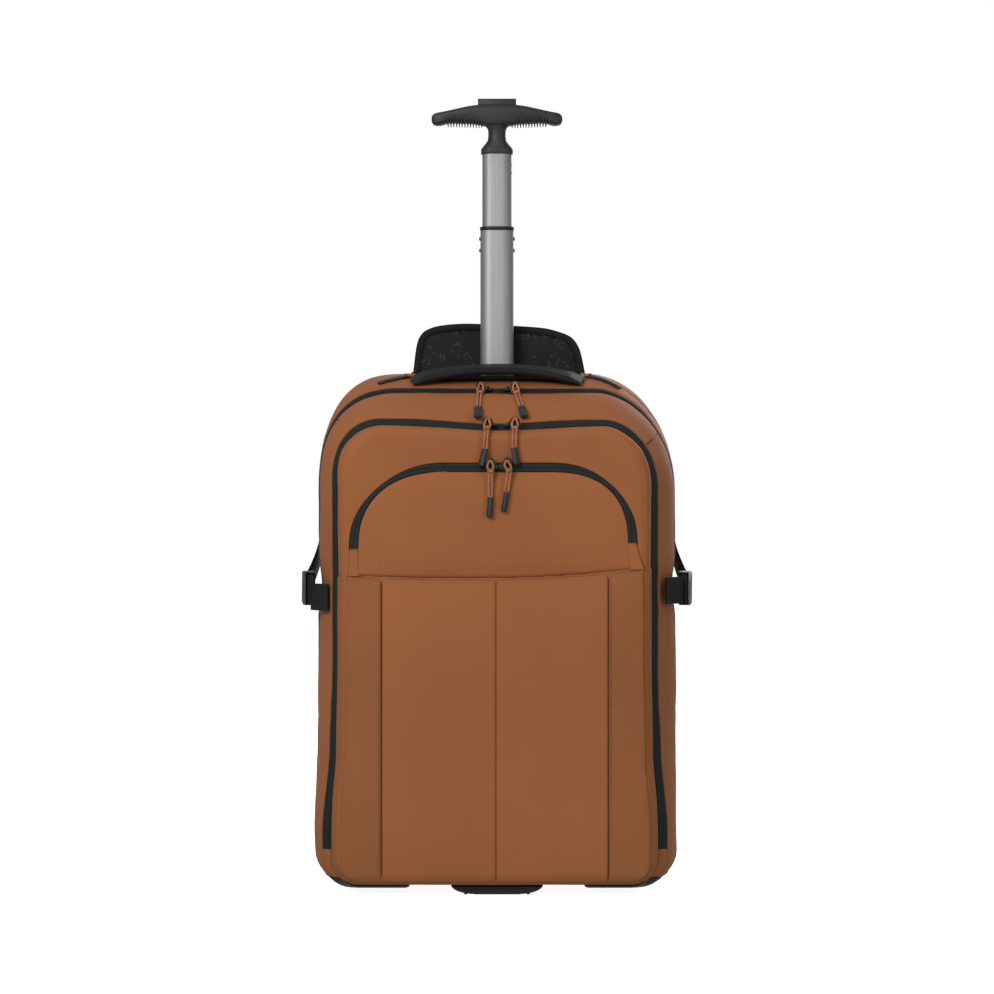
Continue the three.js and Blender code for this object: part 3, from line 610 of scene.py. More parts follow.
def editFaces(obj, test):
    pick(obj)
    bpy.ops.object.mode_set(mode="EDIT")
    bpy.ops.mesh.select_mode(type="FACE")
    bpy.ops.mesh.select_all(action="DESELECT")
    mesh = bmesh.from_edit_mesh(obj.data)
    for face in mesh.faces:
        face.select_set(bool(test(face)))
    bmesh.update_edit_mesh(obj.data)


def press(inset, depth, individual=True):
    # inset the selected faces, then push them in (negative) or out along their normals, in mm
    bpy.ops.mesh.inset(thickness=inset * mm, use_individual=individual)
    if depth:
        bpy.ops.transform.shrink_fatten(value=depth * mm)


def leaveEdit():
    bpy.ops.object.mode_set(mode="OBJECT")


def cutAcross(axis, cuts):
    # planes at right angles to an axis, in metres, in edit mode
    normal = [0, 0, 0]
    normal[axis] = 1
    for cut in cuts:
        bpy.ops.mesh.select_all(action="SELECT")
        bpy.ops.mesh.bisect(plane_co=[cut * part for part in normal], plane_no=normal)


def startDisc(name, radius, high, at, steps):
    # a flat cylinder with its axis across the bag
    bpy.ops.object.select_all(action="DESELECT")
    bpy.ops.mesh.primitive_cylinder_add(vertices=steps, radius=radius * mm, depth=high * mm, location=at,
                                        rotation=(0, math.pi / 2, 0))
    obj = bpy.context.object
    obj.name = name
    bpy.ops.object.transform_apply(location=True, rotation=True, scale=True)
    return obj


def cloneOf(master, name):
    obj = master.copy()
    obj.data = master.data.copy()
    obj.name = name
    return link(obj)


def bevelled(obj, width, segments=2, angle=0.5):
    addModifier(obj, "BEVEL", width=width * mm, segments=segments, limit_method="ANGLE", angle_limit=angle)
    applyModifiers(obj)
    return obj


def joinPieces(name, pieces):
    pick(*pieces)
    bpy.ops.object.join()
    obj = bpy.context.object
    obj.name = name
    return obj


def dressedCopy(node, name, width):
    # the solid's own shape, merged, with its edges rounded
    obj = cloneOf(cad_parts[node], name)
    for key in list(obj.keys()):
        del obj[key]
    obj.parent = None
    obj.data.materials.clear()
    pick(obj)
    enterEdit()
    bpy.ops.mesh.remove_doubles(threshold=0.00002)
    bpy.ops.mesh.dissolve_limited(angle_limit=0.03)
    leaveEdit()
    return bevelled(obj, width, 2, 0.6)


# ---- the bag's outline, the same table as the solids

bodyShape = {
    # depth, half, halfLow, top, bottom, cornerX, cornerZ, cornerLow
    "sections": [
        (3, 145, 150, 441, 19, 46, 62, 16), (5.5, 150.5, 155, 446, 14, 49, 66, 19),
        (12, 154, 159, 449, 10.5, 50, 67, 22), (25, 156, 161.5, 450.4, 9, 51, 67, 24),
        (34, 158.5, 164, 455, 8.6, 54, 71, 25), (58, 167.5, 171, 470, 8.6, 68, 84, 27),
        (88, 174, 175.5, 484.6, 9, 80, 98, 28), (110, 174.6, 175.8, 493.4, 9.5, 82, 101, 28),
        (135, 173.4, 174.6, 500.4, 10.5, 82, 102, 27), (154, 171, 172, 502.6, 12, 80, 100, 25),
        (160, 166, 167, 498.5, 16, 76, 96, 21),
    ],
    "powerLeft": 2.5, "powerRight": 1.9,
    "pinchZ": 294, "pinchReach": 34, "pinchDeep": 3.2,
    # the front leans a little to the left and draws in at half height
    "lean": 2.0,
    "waist": ((-50, 0), (60, 0), (140, 3.2), (206, 4.6), (290, 3.6), (377, 2.0), (430, 0), (600, 0)),
    # how far the front compartment stands back from the zip round it
    "revealLeft": ((-50, 7.4), (60, 7.4), (110, 5.4), (206, 3.6), (377, 3.2), (430, 1.8), (600, 1.4)),
    "revealRight": ((-50, 7.8), (60, 7.8), (110, 6.2), (206, 4.3), (377, 4.0), (430, 2.0), (600, 1.6)),
    "revealTop": 1.9, "footBulge": 2.6,
}
ringSteps = {"top": 24, "corner": 30, "side": 84, "cornerLow": 14, "bottom": 24}


def sectionAt(depth):
    rows = bodyShape["sections"]
    last = len(rows) - 1
    i = 0
    while i < last - 1 and rows[i + 1][0] < depth:
        i += 1
    before, low, high, after = rows[max(0, i - 1)], rows[i], rows[i + 1], rows[min(last, i + 2)]
    gap = high[0] - low[0]
    t = clamp((depth - low[0]) / gap)
    mixed = []
    for k in range(1, 8):
        slopeIn = (high[k] - before[k]) / (high[0] - before[0]) * gap
        slopeOut = (after[k] - low[k]) / (after[0] - low[0]) * gap
        mixed.append(low[k] * (2 * t ** 3 - 3 * t ** 2 + 1) + slopeIn * (t ** 3 - 2 * t ** 2 + t)
                     + high[k] * (3 * t ** 2 - 2 * t ** 3) + slopeOut * (t ** 3 - t ** 2))
    return mixed


def halfRing(section, depth, power):
    half, halfLow, top, bottom, cornerX, cornerZ, cornerLow = section
    flat = half - cornerX
    points = [(flat * i / ringSteps["top"], top) for i in range(ringSteps["top"])]
    for i in range(ringSteps["corner"]):
        angle = math.pi / 2 * i / ringSteps["corner"]
        points.append((flat + cornerX * math.sin(angle) ** (2 / power),
                       top - cornerZ + cornerZ * math.cos(angle) ** (2 / power)))
    sideTop, sideLow = top - cornerZ, bottom + cornerLow
    fade = clamp((depth - 34) / 30)
    for i in range(ringSteps["side"]):
        t = i / ringSteps["side"]
        z = sideTop + (sideLow - sideTop) * t
        gap = abs(z - bodyShape["pinchZ"]) / bodyShape["pinchReach"]
        pinch = bodyShape["pinchDeep"] * fade * (0.5 + 0.5 * math.cos(math.pi * min(1.0, gap)))
        points.append((half + (halfLow - half) * t - pinch, z))
    for i in range(ringSteps["cornerLow"]):
        angle = math.pi / 2 * i / ringSteps["cornerLow"]
        points.append((halfLow - cornerLow + cornerLow * math.cos(angle),
                       bottom + cornerLow - cornerLow * math.sin(angle)))
    flat = halfLow - cornerLow
    points += [(flat * (1 - i / ringSteps["bottom"]), bottom) for i in range(ringSteps["bottom"] + 1)]
    return points


def tableAt(rows, z):
    for (z0, w0), (z1, w1) in zip(rows, rows[1:]):
        if z <= z1:
            t = (z - z0) / (z1 - z0)
            return w0 + (w1 - w0) * eased(t)
    return rows[-1][1]


def frontWaist(depth, z, side):
    # how far the sides of the front draw in, mm
    front = eased(clamp((80 - depth) / 50))
    bare = clamp((32 - depth) / 8)
    reveal = tableAt(bodyShape["revealLeft" if side < 0 else "revealRight"], z)
    bulge = bodyShape["footBulge"] * bell(z - 62, 48) * (1 if side < 0 else front)
    return front * tableAt(bodyShape["waist"], z) - bulge + bare * reveal


def topSag(depth, x, z):
    # the top edge of the front hangs a little in its middle
    high = clamp((z - 425) / 15)
    fade = clamp((72 - depth) / 36)
    sag = 4.2 * bell(x - 5, 55) - 1.0 * bell(x + 110, 30)
    return high * (fade * sag + bodyShape["revealTop"] * clamp((32 - depth) / 8))


def ring(depth, inset=0.0, at=None):
    # closed, from the bottom's middle up the left side, over the top and down the right side
    half, halfLow, top, bottom, cornerX, cornerZ, cornerLow = sectionAt(depth)
    section = (half - inset, halfLow - inset, top - inset, bottom + inset, max(4, cornerX - inset * 0.6),
               max(4, cornerZ - inset * 0.6), max(3, cornerLow - inset))
    right = halfRing(section, depth, bodyShape["powerRight"])
    left = [(-x, z) for x, z in halfRing(section, depth, bodyShape["powerLeft"])]
    around = left[::-1] + right[1:-1]
    lean = bodyShape["lean"] * clamp((80 - depth) / 50)
    points = []
    for x, z in around:
        drawn = frontWaist(depth, z, x) * min(1.0, abs(x) / 120)
        points.append(place(x - lean - (drawn if x > 0 else -drawn), depth if at is None else at,
                            z - topSag(depth, x, z)))
    return points


def topAt(depth, x=0.0):
    half, halfLow, top, bottom, cornerX, cornerZ, cornerLow = sectionAt(depth)
    power = bodyShape["powerLeft"] if x < 0 else bodyShape["powerRight"]
    u = max(0.0, (abs(x) - half + cornerX) / cornerX)
    return top - cornerZ + cornerZ * (1 - u ** power) ** (1 / power)


def pathPast(depth, foot, inset, count, above=True):
    # the part of a ring above its foot line, or the part below it
    around = ring(depth, inset)
    sign = 1 if above else -1
    start = 0 if above else len(around) // 2
    around = around[start:] + around[:start]
    line = foot * mm
    kept = []
    for a, b in zip(around, around[1:] + around[:1]):
        if (sign * a.z < sign * line) != (sign * b.z < sign * line):
            kept.append(a.lerp(b, (line - a.z) / (b.z - a.z)))
        if sign * b.z >= sign * line:
            kept.append(b)
    return resample(kept, count)


# ---- pull cords: a loop from each slider's eye down into its moulded end

pullCords = {
    "radius": 1.05,
    # half the gap between the strands, by the way gone down to the knot
    "spread": ((0, 0.2), (0.17, 1.5), (0.55, 2.9), (0.8, 2.5), (1.0, 1.1), (1.25, 1.5)),
    # the way down: top of the slider's ring, ring, knot, then along the cloth to the moulded end
    "main_left": {"route": ((-15.6, 80, 491.4), (-16.1, 77.5, 486), (-16.8, 73.5, 481.2),
                            (-17.5, 62, topAt(62) + 2.4)),
                  "end": (-18, 47, topAt(47) + 3), "tip": (-18.4, 31.5, 456.6)},
    "main_right": {"route": ((17.6, 80, 491.8), (18.0, 77.5, 486.4), (19.4, 73.5, 481.2),
                             (21.6, 62, topAt(62) + 2.4)),
                   "end": (23.8, 47.5, topAt(47.5) + 3), "tip": (26.3, 32.5, 457)},
    "front_left": {"route": ((-9.1, 18.5, 455.6), (-9.3, 12, 450.6), (-9.7, 3.4, 444.8), (-10.3, -0.6, 439)),
                   "end": (-11.4, -2.0, 426), "tip": (-15.4, -4.2, 409)},
    "front_right": {"route": ((17.1, 18.5, 455.6), (17.0, 12, 450.6), (16.8, 3.4, 444.8), (16.6, -0.6, 439)),
                    "end": (16.2, -2.0, 427), "tip": (18.6, -4.0, 410.5)},
    "pocket_left": {"route": ((-6.3, -4.8, 414.8), (-6.3, -5.3, 410), (-6.2, -5.8, 404.6), (-6.2, -6.2, 398)),
                    "end": (-6.4, -6.8, 380.2), "tip": (-7.4, -7, 360.6)},
    "pocket_right": {"route": ((9.4, -4.8, 415), (9.9, -5.3, 410.4), (11.4, -5.8, 405.4), (10.8, -6.2, 398)),
                     "end": (9.0, -6.8, 385), "tip": (6.0, -7, 366)},
}


def loopPath(pull):
    # down one strand, into the moulded end, and back up the other
    values = pullCords[pull]
    middle = smoothPath([place(*at) for at in (*values["route"], values["end"])], 26)
    knot = place(*values["route"][2])
    along = lengths(middle)
    reach = along[min(range(26), key=lambda i: (middle[i] - knot).length)]
    down = []
    for spot, gone in zip(middle, along):
        share = gone / reach
        rows = pullCords["spread"]
        half = rows[-1][1]
        for (s0, h0), (s1, h1) in zip(rows, rows[1:]):
            if share <= s1:
                half = h0 + (h1 - h0) * (share - s0) / (s1 - s0)
                break
        down.append((spot, half * mm))
    side = Vector((1, 0, 0))
    return [spot - side * half for spot, half in down] + [spot + side * half for spot, half in down[::-1]]


pullEnd = {
    "wide": 8.0, "deep": 5.2, "short": 0.6, "tip": 0.90,
    "cuts": (-0.42, -0.30, -0.27, -0.15, -0.12, 0.0, 0.03, 0.15, 0.18, 0.38),
    # height of each groove's edge and the width there
    "grooves": {-0.30: 0.91, -0.27: 0.94, -0.15: 0.91, -0.12: 0.94, 0.0: 0.91, 0.03: 0.94},
}
knotShape = {"radius": 0.95, "steps": 30, "turns": 1.35, "start": 0.6, "high": 2.2, "wide": 2.5, "deep": 1.9}


def modelPullEnd():
    # a ribbed moulded sleeve, standing upright at the origin
    bpy.ops.object.select_all(action="DESELECT")
    bpy.ops.mesh.primitive_cylinder_add(vertices=24, radius=0.5, depth=1.0, location=(0, 0, 0))
    master = bpy.context.object
    master.name = "pullEndMaster"
    enterEdit("FACE")
    cutAcross(2, pullEnd["cuts"])
    leaveEdit()
    return master


pullEndMaster = modelPullEnd()


def shapePullEnd(name, pull):
    values = pullCords[pull]
    end, tip = place(*values["end"]), place(*values["tip"])
    obj = cloneOf(pullEndMaster, name)
    length = (tip - end).length - pullEnd["short"] * mm
    for v in obj.data.vertices:
        z = round(v.co.z, 2)
        wide = pullEnd["tip"] if abs(z) > 0.49 else pullEnd["grooves"].get(z, 1.0)
        square = max(abs(v.co.x), abs(v.co.y)) / 0.5
        push = 1 + 0.12 * (1 - square)
        v.co.x *= pullEnd["wide"] * mm * wide * push
        v.co.y *= pullEnd["deep"] * mm * wide * push
        v.co.z *= length
    turn = (tip - end).to_track_quat("Z", "Y").to_matrix().to_4x4()
    obj.data.transform(Matrix.Translation((end + tip) / 2) @ turn)
    addModifier(obj, "BEVEL", width=0.35 * mm, segments=2, limit_method="ANGLE", angle_limit=0.6)
    applyModifiers(obj)
    return finishPiece(obj, mouldedRubber, stands=(f"pull_{pull}_end",), angle=50)


def shapeKnot(pull):
    # a turn of the cord round its two strands
    shape = knotShape
    at, before, after = (place(*pullCords[pull]["route"][k]) for k in (2, 1, 3))
    along = (after - before).normalized()
    side = Vector((1, 0, 0))
    side = (side - along * side.dot(along)).normalized()
    up = along.cross(side)
    spots = []
    for i in range(shape["steps"]):
        t = i / (shape["steps"] - 1)
        angle = 2 * math.pi * shape["turns"] * t + shape["start"]
        around = side * math.cos(angle) * shape["wide"] + up * math.sin(angle) * shape["deep"]
        spots.append(at + along * (shape["high"] * (t - 0.5)) * mm + around * mm)
    pick(drawCurve(f"knot_{pull}", spots, shape["radius"], 2))
    bpy.ops.object.convert(target="MESH")
    return finishPiece(bpy.context.object, cordBraid, angle=70)


for pull in [key for key in pullCords if "_" in key]:
    path = smoothPath(loopPath(pull), 64)
    cord = drawCurve(f"cord_{pull}", path, pullCords["radius"], 3)
    cord.data.materials.append(cordBraid)
    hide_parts(f"pull_{pull}_cord")
    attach(cord, "bag")
    endPiece = shapePullEnd(f"cordEnd_{pull}", pull)
    lengths(path)[-1]
    shapeKnot(pull)
bpy.data.objects.remove(pullEndMaster)
print("Stage: pull cords and their ends")


# ---- front compartment: rim and face in one cloth shell

frontShell = {"thick": 1.6, "slack": 0.5, "depths": (25, 22.5, 19.5, 16, 13, 10.5, 8.3, 6.6, 5.3, 4.2, 3.4),
              "insets": (0, 3, 7, 12, 18, 25, 33, 42, 52, 64, 78, 92)}


def shapeFrontShell():
    rows = [ring(d) for d in frontShell["depths"]]
    rows += [ring(3, inset, at=3.0) for inset in frontShell["insets"]]
    edge = len(frontShell["depths"])

    def lift(r, c, p):
        tuck = 1.3 * mm * bell(r, 1.25)
        near = bell(r - 1, 1.6) * wander((c * 0.35, 0, 3), 1, 0.25 * mm)
        return near + wander(p, 0.05, frontShell["slack"] * mm, 2) + wander(p, 0.02, 0.12 * mm, 5) - tuck

    # painted shade: the edge row tucked in under the zip is darkened
    def seam(r, c, p):
        return 0.5 if r == 0 else 0.0

    clothShell("frontCompartment", rows, "front_shell", frontShell["thick"], lift, seam, capped=True)


shapeFrontShell()

# ---- main compartment: the gusset between the two zips, the rear rim, and the strips under the zip feet

mainBody = {
    "thick": 1.8,
    "gusset": (34, 34.4, 35.2, 36.6, 39, 43, 47.5, 52.5, 58, 63, 68, 72.5, 76.5, 79.5, 81.6, 82.6, 83),
    "rearRim": (93, 93.4, 94.4, 96.5, 100, 104, 108, 112, 115.4, 117, 117.8, 118.2),
    # a cross seam on each shoulder: x and z at the front zip, then at the rear zip
    "shoulderSeams": {"left": (-141.7, 442, -158, 459), "right": (145, 431.5, 157.5, 443)},
}


def shapeGusset():
    depths = mainBody["gusset"]
    rows = [ring(d) for d in depths]
    first, last = depths[0], depths[-1]

    def edgeGap(d):
        return min(d - first, last - d)

    def lift(r, c, p):
        d = depths[r]
        tuck = -0.7 * mm * bell(edgeGap(d), 0.7) - 2.0 * mm * bell(83 - d, 2.2)
        swell = 1.3 * mm * math.sin(math.pi * (d - first) / (last - first)) ** 0.7
        ruck = bell(edgeGap(d) - 3, 5) * wander((c * 0.22, 0.2 * r, 7), 1, 0.45 * mm)
        soft = wander(p, 0.055, 1.1 * mm, 4) + wander(p, 0.02, 0.25 * mm, 9)
        pinch = 0.9 * mm * wander((p.x / 0.004, p.y / 0.03, p.z / 0.014), 1, 1, 3) * bell(
            (p.z / mm - 288) / 26, 1) * clamp((abs(p.x / mm) - 120) / 40)
        return tuck + swell + ruck + soft + pinch

    # painted shade: both edges, where the cloth tucks in under the zips, are darkened; partly also the seam
    # line there
    def seam(r, c, p):
        return 0.7 * bell(edgeGap(depths[r]), 0.5)

    obj = clothShell("gusset", rows, "main_shell", mainBody["thick"], lift, seam)
    for side, (x0, z0, x1, z1) in mainBody["shoulderSeams"].items():
        path, normals = [], []
        for i in range(26):
            t = i / 25
            d = 35.2 + (81.6 - 35.2) * t
            near = place(x0 + (x1 - x0) * t, d, z0 + (z1 - z0) * t)
            spot, normal = obj.closest_point_on_mesh(near)[1:3]
            path.append(spot + normal * 0.3 * mm)
            normals.append(normal)
        # a dark strip along the seam: partly the seam's line, partly painted shade in it
        stations = strapStations(path, (1, 0, 0.4), 1.5, 0.8)
        line = strapBody(f"shoulderSeam_{side}", stations, 10, 2.4)
        finishPiece(line, seamLineAndShade, angle=70)


def shapeRearRim():
    depths = mainBody["rearRim"]
    rows = [ring(d) for d in depths]

    def lift(r, c, p):
        gap = min(depths[r] - depths[0], depths[-1] - depths[r])
        soft = wander(p, 0.06, 0.9 * mm, 14) + wander(p, 0.018, 0.2 * mm, 3)
        ruck = bell(gap - 2, 4) * wander((c * 0.2, 0.3 * r, 17), 1, 0.4 * mm)
        return soft + ruck - 0.8 * mm * bell(gap, 0.8)

    # painted shade: both edges, where the cloth tucks in, are darkened; partly also the seam line there
    def seam(r, c, p):
        return 0.75 * bell(min(depths[r] - depths[0], depths[-1] - depths[r]), 0.5)

    clothShell("rearRim", rows, "main_shell", mainBody["thick"], lift, seam)


def shapeFootStrip(name, low, high, foot):
    # cloth under the lower ends of a zip
    depths = [low + (high - low) * i / 6 for i in range(7)]
    rows = [pathPast(d, foot, 0.2, 150, False) for d in depths]

    # painted shade: the strip's two tucked edges are darkened
    def seam(r, c, p):
        return 0.6 * bell(min(r, 6 - r), 0.6)

    def lift(r, c, p):
        return wander(p, 0.03, 0.4 * mm, 6) - (0.5 * mm if r in (0, 6) else 0.0)

    obj = clothSheet(name, rows, lift=lift, seam=seam)
    thicken(obj, 1.4 * mm)
    return finishPiece(obj, orangeCloth, stands=("main_shell",), angle=70)


shapeGusset()
shapeRearRim()
shapeFootStrip("frontZipStrip", 24.6, 34.4, 42.4)
shapeFootStrip("mainZipStrip", 82.6, 93.4, 64.4)

# ---- rear section: the trolley's channel, open on top, with its bound mouth

rearSection = {
    "wheelHollow": 1.2, "thick": 1.8,
    "depths": (118.4, 118.9, 119.8, 121.2, 124, 127.5, 131, 135, 139, 143, 147, 151, 153.6, 155.5, 157, 158.6,
               159.6, 160),
    "insets": (2, 6, 14, 28, 46, 68, 92), "openHalf": 84, "openDepths": (124, 155.5),
}


def shapeRearSection():
    depths = rearSection["depths"]
    rows = [ring(d) for d in depths] + [ring(160, i, at=160.0) for i in rearSection["insets"]]

    def lift(r, c, p):
        if r >= len(depths):
            return 0.0
        tuck = -1.1 * mm * bell(depths[r] - depths[0], 0.8)
        hump = 1.4 * mm * math.sin(math.pi * (depths[r] - 118) / 42) * bell((abs(p.x / mm) - 132) / 26, 1) * (
            1.0 if p.z > 0.42 else 0.0)
        return tuck + hump + wander(p, 0.07, 1.2 * mm, 24) + wander(p, 0.022, 0.25 * mm, 8)

    def seam(r, c, p):
        return 0.75 * bell(depths[r] - depths[0], 0.6) if r < len(depths) else 0.0

    obj = clothSheet("channelBody", rows, closed=True, lift=lift, seam=seam, capped=True)
    half, (near, far) = rearSection["openHalf"], rearSection["openDepths"]
    mesh = bmesh.new()
    mesh.from_mesh(obj.data)
    mouth = []
    for face in mesh.faces:
        middle = face.calc_center_median() / mm
        if abs(middle.x) < half and near < middle.y - frontY < far and middle.z > 470:
            mouth.append(face)
    bmesh.ops.delete(mesh, geom=mouth, context="FACES")
    for face in mesh.faces:
        if face.calc_center_median().y / mm - frontY > 158.8:
            face.material_index = 2
    for vert in mesh.verts:
        # a shallow hollow behind each wheel, so that the tread runs clear of the cloth
        x, depth, z = vert.co.x / mm, vert.co.y / mm - frontY, vert.co.z / mm
        if depth > 150:
            near = bell((abs(x) - 129) / 26, 1) * bell((z - 31) / 30, 1)
            vert.co.y -= rearSection["wheelHollow"] * mm * near
    mesh.to_mesh(obj.data)
    mesh.free()
    thicken(obj, rearSection["thick"] * mm, innerSlot=1)
    return finishPiece(obj, (orangeCloth, blackCloth, blackCloth),
                       stands=("rear_section",), angle=70)


def shapeMouthBinding():
    # a rolled tape round the channel's open mouth
    half, (near, far) = rearSection["openHalf"], rearSection["openDepths"]
    corners = [(-half, near), (half, near), (half, far), (-half, far)]
    spots = []
    for (x0, d0), (x1, d1) in zip(corners, corners[1:] + corners[:1]):
        for i in range(24):
            t = i / 24
            x, d = x0 + (x1 - x0) * t, d0 + (d1 - d0) * t
            spots.append(place(x, d, topAt(d, x) + 0.2))
    points, faces = [], []
    count, steps = len(spots), 10
    for i, at in enumerate(spots):
        along = (spots[(i + 1) % count] - spots[i - 1]).normalized()
        side = along.cross(Vector((0, 0, 1))).normalized()
        for k in range(steps):
            angle = 2 * math.pi * k / steps
            around = side * math.cos(angle) * 1.7 + Vector((0, 0, 1)) * math.sin(angle) * 1.9
            points.append(at + around * mm)
    for i in range(count):
        for k in range(steps):
            n, m = (i + 1) % count, (k + 1) % steps
            faces.append([i * steps + k, n * steps + k, n * steps + m, i * steps + m])
    obj = newObject("channelBinding", points, faces)
    turnOutward(obj)
    uv = obj.data.uv_layers.new(name="cloth")
    for loop in obj.data.loops:
        spot, turn = divmod(loop.vertex_index, steps)
        uv.data[loop.index].uv = (spot * 0.0035, turn * 0.0011)
    return finishPiece(obj, blackCloth, angle=70)


def shapeMouthLipAndShade():
    # black cloth between the handle and the channel's mouth: partly the channel's lining, partly a dark sheet
    # that stands for the shade under the handle
    half = rearSection["openHalf"] + 1
    rows = []
    for r in range(9):
        row = []
        for c in range(61):
            x = half * (c / 30 - 1)
            near = 112.5 - 5.5 * abs(c / 30 - 1) ** 1.6
            depth = near + (124.4 - near) * r / 8
            row.append(place(x, depth, topAt(depth, x) + (0.2 if r == 0 else 1.5)))
        rows.append(row)
    obj = clothSheet("channelLipAndShade", rows, lift=lambda r, c, p: wander(p, 0.03, 0.5 * mm, 19), flatUv=True)
    thicken(obj, 1.2 * mm)
    return finishPiece(obj, blackCloth, angle=60)


shapeRearSection()
shapeMouthBinding()
shapeMouthLipAndShade()
print("Stage: the bag's cloth body")

# ---- zips along the body: a coated tape with a closed middle line

bodyZips = {
    "zipFrontTape": {"node": "zip_front", "start": 25.0, "end": 34.0, "foot": 41.5},
    "zipMainTape": {"node": "zip_main", "start": 83.0, "end": 93.0, "foot": 63.5},
    # across the tape: place from 0 to 1, how far below the cloth, and darkness, which is painted shade at the
    # tucked edges and in the middle groove
    "profile": ((0.0, 1.5, 1), (0.05, 0.7, 1), (0.11, 0.15, 0.25), (0.2, -0.1, 0), (0.34, -0.15, 0),
                (0.45, 0.0, 0), (0.485, 0.15, 0.25), (0.5, 0.4, 0.7), (0.515, 0.15, 0.25), (0.55, 0.0, 0),
                (0.66, -0.15, 0), (0.8, -0.1, 0), (0.89, 0.15, 0.25), (0.95, 0.7, 1), (1.0, 1.5, 1)),
}


def shapeBodyZip(name):
    values = bodyZips[name]
    rows = []
    for share, sunk, dark in bodyZips["profile"]:
        depth = values["start"] + (values["end"] - values["start"]) * share
        rows.append(pathPast(depth, values["foot"], sunk, 520))

    def lift(r, c, p):
        share = bodyZips["profile"][r][0]
        drawn = (0.6 if name == "zipFrontTape" else 2.0) * (1 - share) * mm
        return wander((c * 0.05, 0.1, 31), 1, 0.3 * mm) - drawn

    # painted shade: the tape's tucked edges and its middle groove are darkened
    def seam(r, c, p):
        return bodyZips["profile"][r][2]

    obj = clothSheet(name, rows, lift=lift, seam=seam)
    thicken(obj, 0.7 * mm)
    return finishPiece(obj, zipTape, stands=(values["node"],), angle=60)


for name in ("zipFrontTape", "zipMainTape"):
    shapeBodyZip(name)

# ---- arched pocket: its line, the zip on it, and the panel inside

arch = {"seam": 302.8, "foot": 331, "top": 407.6, "halfLeft": 135.8, "halfRight": 128.7, "flat": 48,
        "powerLeft": 2.35, "powerRight": 2.6, "band": 9.2, "leftFoot": 328.7, "rightFoot": 334.4}


def seamAt(x):
    # height of the cross seam: level on the left, rising to the right
    t = min(1.03, max(0.0, (x + 5) / 152))
    return 302.4 + 11.0 * t ** 1.9 + 3.4 * clamp((-x - 60) / 92) ** 1.5


def archPoint(angle, offset, side):
    # angle 0 is the foot, a quarter turn the top; offset is outwards
    half = arch["halfLeft"] if side < 0 else arch["halfRight"]
    power = arch["powerLeft"] if side < 0 else arch["powerRight"]
    c, s = max(0.0, math.cos(angle)), max(0.0, math.sin(angle))
    x = arch["flat"] + (half - arch["flat"]) * c ** (2 / power)
    z = arch["foot"] + (arch["top"] - arch["foot"]) * s ** (2 / power)
    n = Vector((c ** (2 - 2 / power) / (half - arch["flat"]),
                s ** (2 - 2 / power) / (arch["top"] - arch["foot"])))
    n.normalize()
    if offset > 0:
        offset *= 1.12 - 0.95 * math.sin(2 * angle) ** 2
    return side * (x + n.x * offset), z + n.y * offset


def archPath(offset, depth, count):
    # from the left end over the top to the right end
    left = [archPoint(math.pi / 2 * i / 40, offset, -1) for i in range(41)]
    right = [archPoint(math.pi / 2 * i / 40, offset, 1) for i in range(41)]
    feet = []
    for side, path in ((-1, left), (1, right)):
        x, z = path[0]
        foot = arch["leftFoot" if side < 0 else "rightFoot"] + offset * 0.3
        if z > foot:
            feet.append([(x + side * (z - foot) * (0.10 if side > 0 else -0.02), foot)])
        else:
            feet.append([])
            while len(path) > 2 and path[1][1] < foot:
                path.pop(0)
    line = feet[0] + left + right[::-1] + feet[1]
    return resample([place(x, depth, z) for x, z in line], count)


def shapeArchZip():
    rows = []
    for share, sunk, dark in bodyZips["profile"]:
        offset = arch["band"] * (share - 0.5)
        rows.append(archPath(offset, 1.75 + sunk * 0.7, 300))

    # painted shade: the tape's tucked edges, its middle groove and both ends where it tucks under the strips
    # are darkened
    def seam(r, c, p):
        return max(bodyZips["profile"][r][2], bell(min(c, 299 - c), 1.2))

    obj = clothSheet("zipPocketTape", rows, seam=seam,
                     lift=lambda r, c, p: wander((c * 0.06, 0, 12), 1, 0.2 * mm))
    thicken(obj, 0.8 * mm)
    return finishPiece(obj, zipTape, stands=("zip_pocket",), angle=60)


shapeArchZip()
pocket = {"bulge": 5.0, "edge": 2.2, "rows": 74, "columns": 120, "thick": 1.5}


def archReach(z, side, inset):
    half = (arch["halfLeft"] if side < 0 else arch["halfRight"]) - inset
    v = clamp((z - arch["foot"]) / (arch["top"] - inset - arch["foot"]))
    if z < arch["foot"]:
        half += (arch["foot"] - z) * (0.10 if side > 0 else -0.02)
    power = arch["powerLeft"] if side < 0 else arch["powerRight"]
    return arch["flat"] + (half - arch["flat"]) * (1 - v ** power) ** (1 / power)


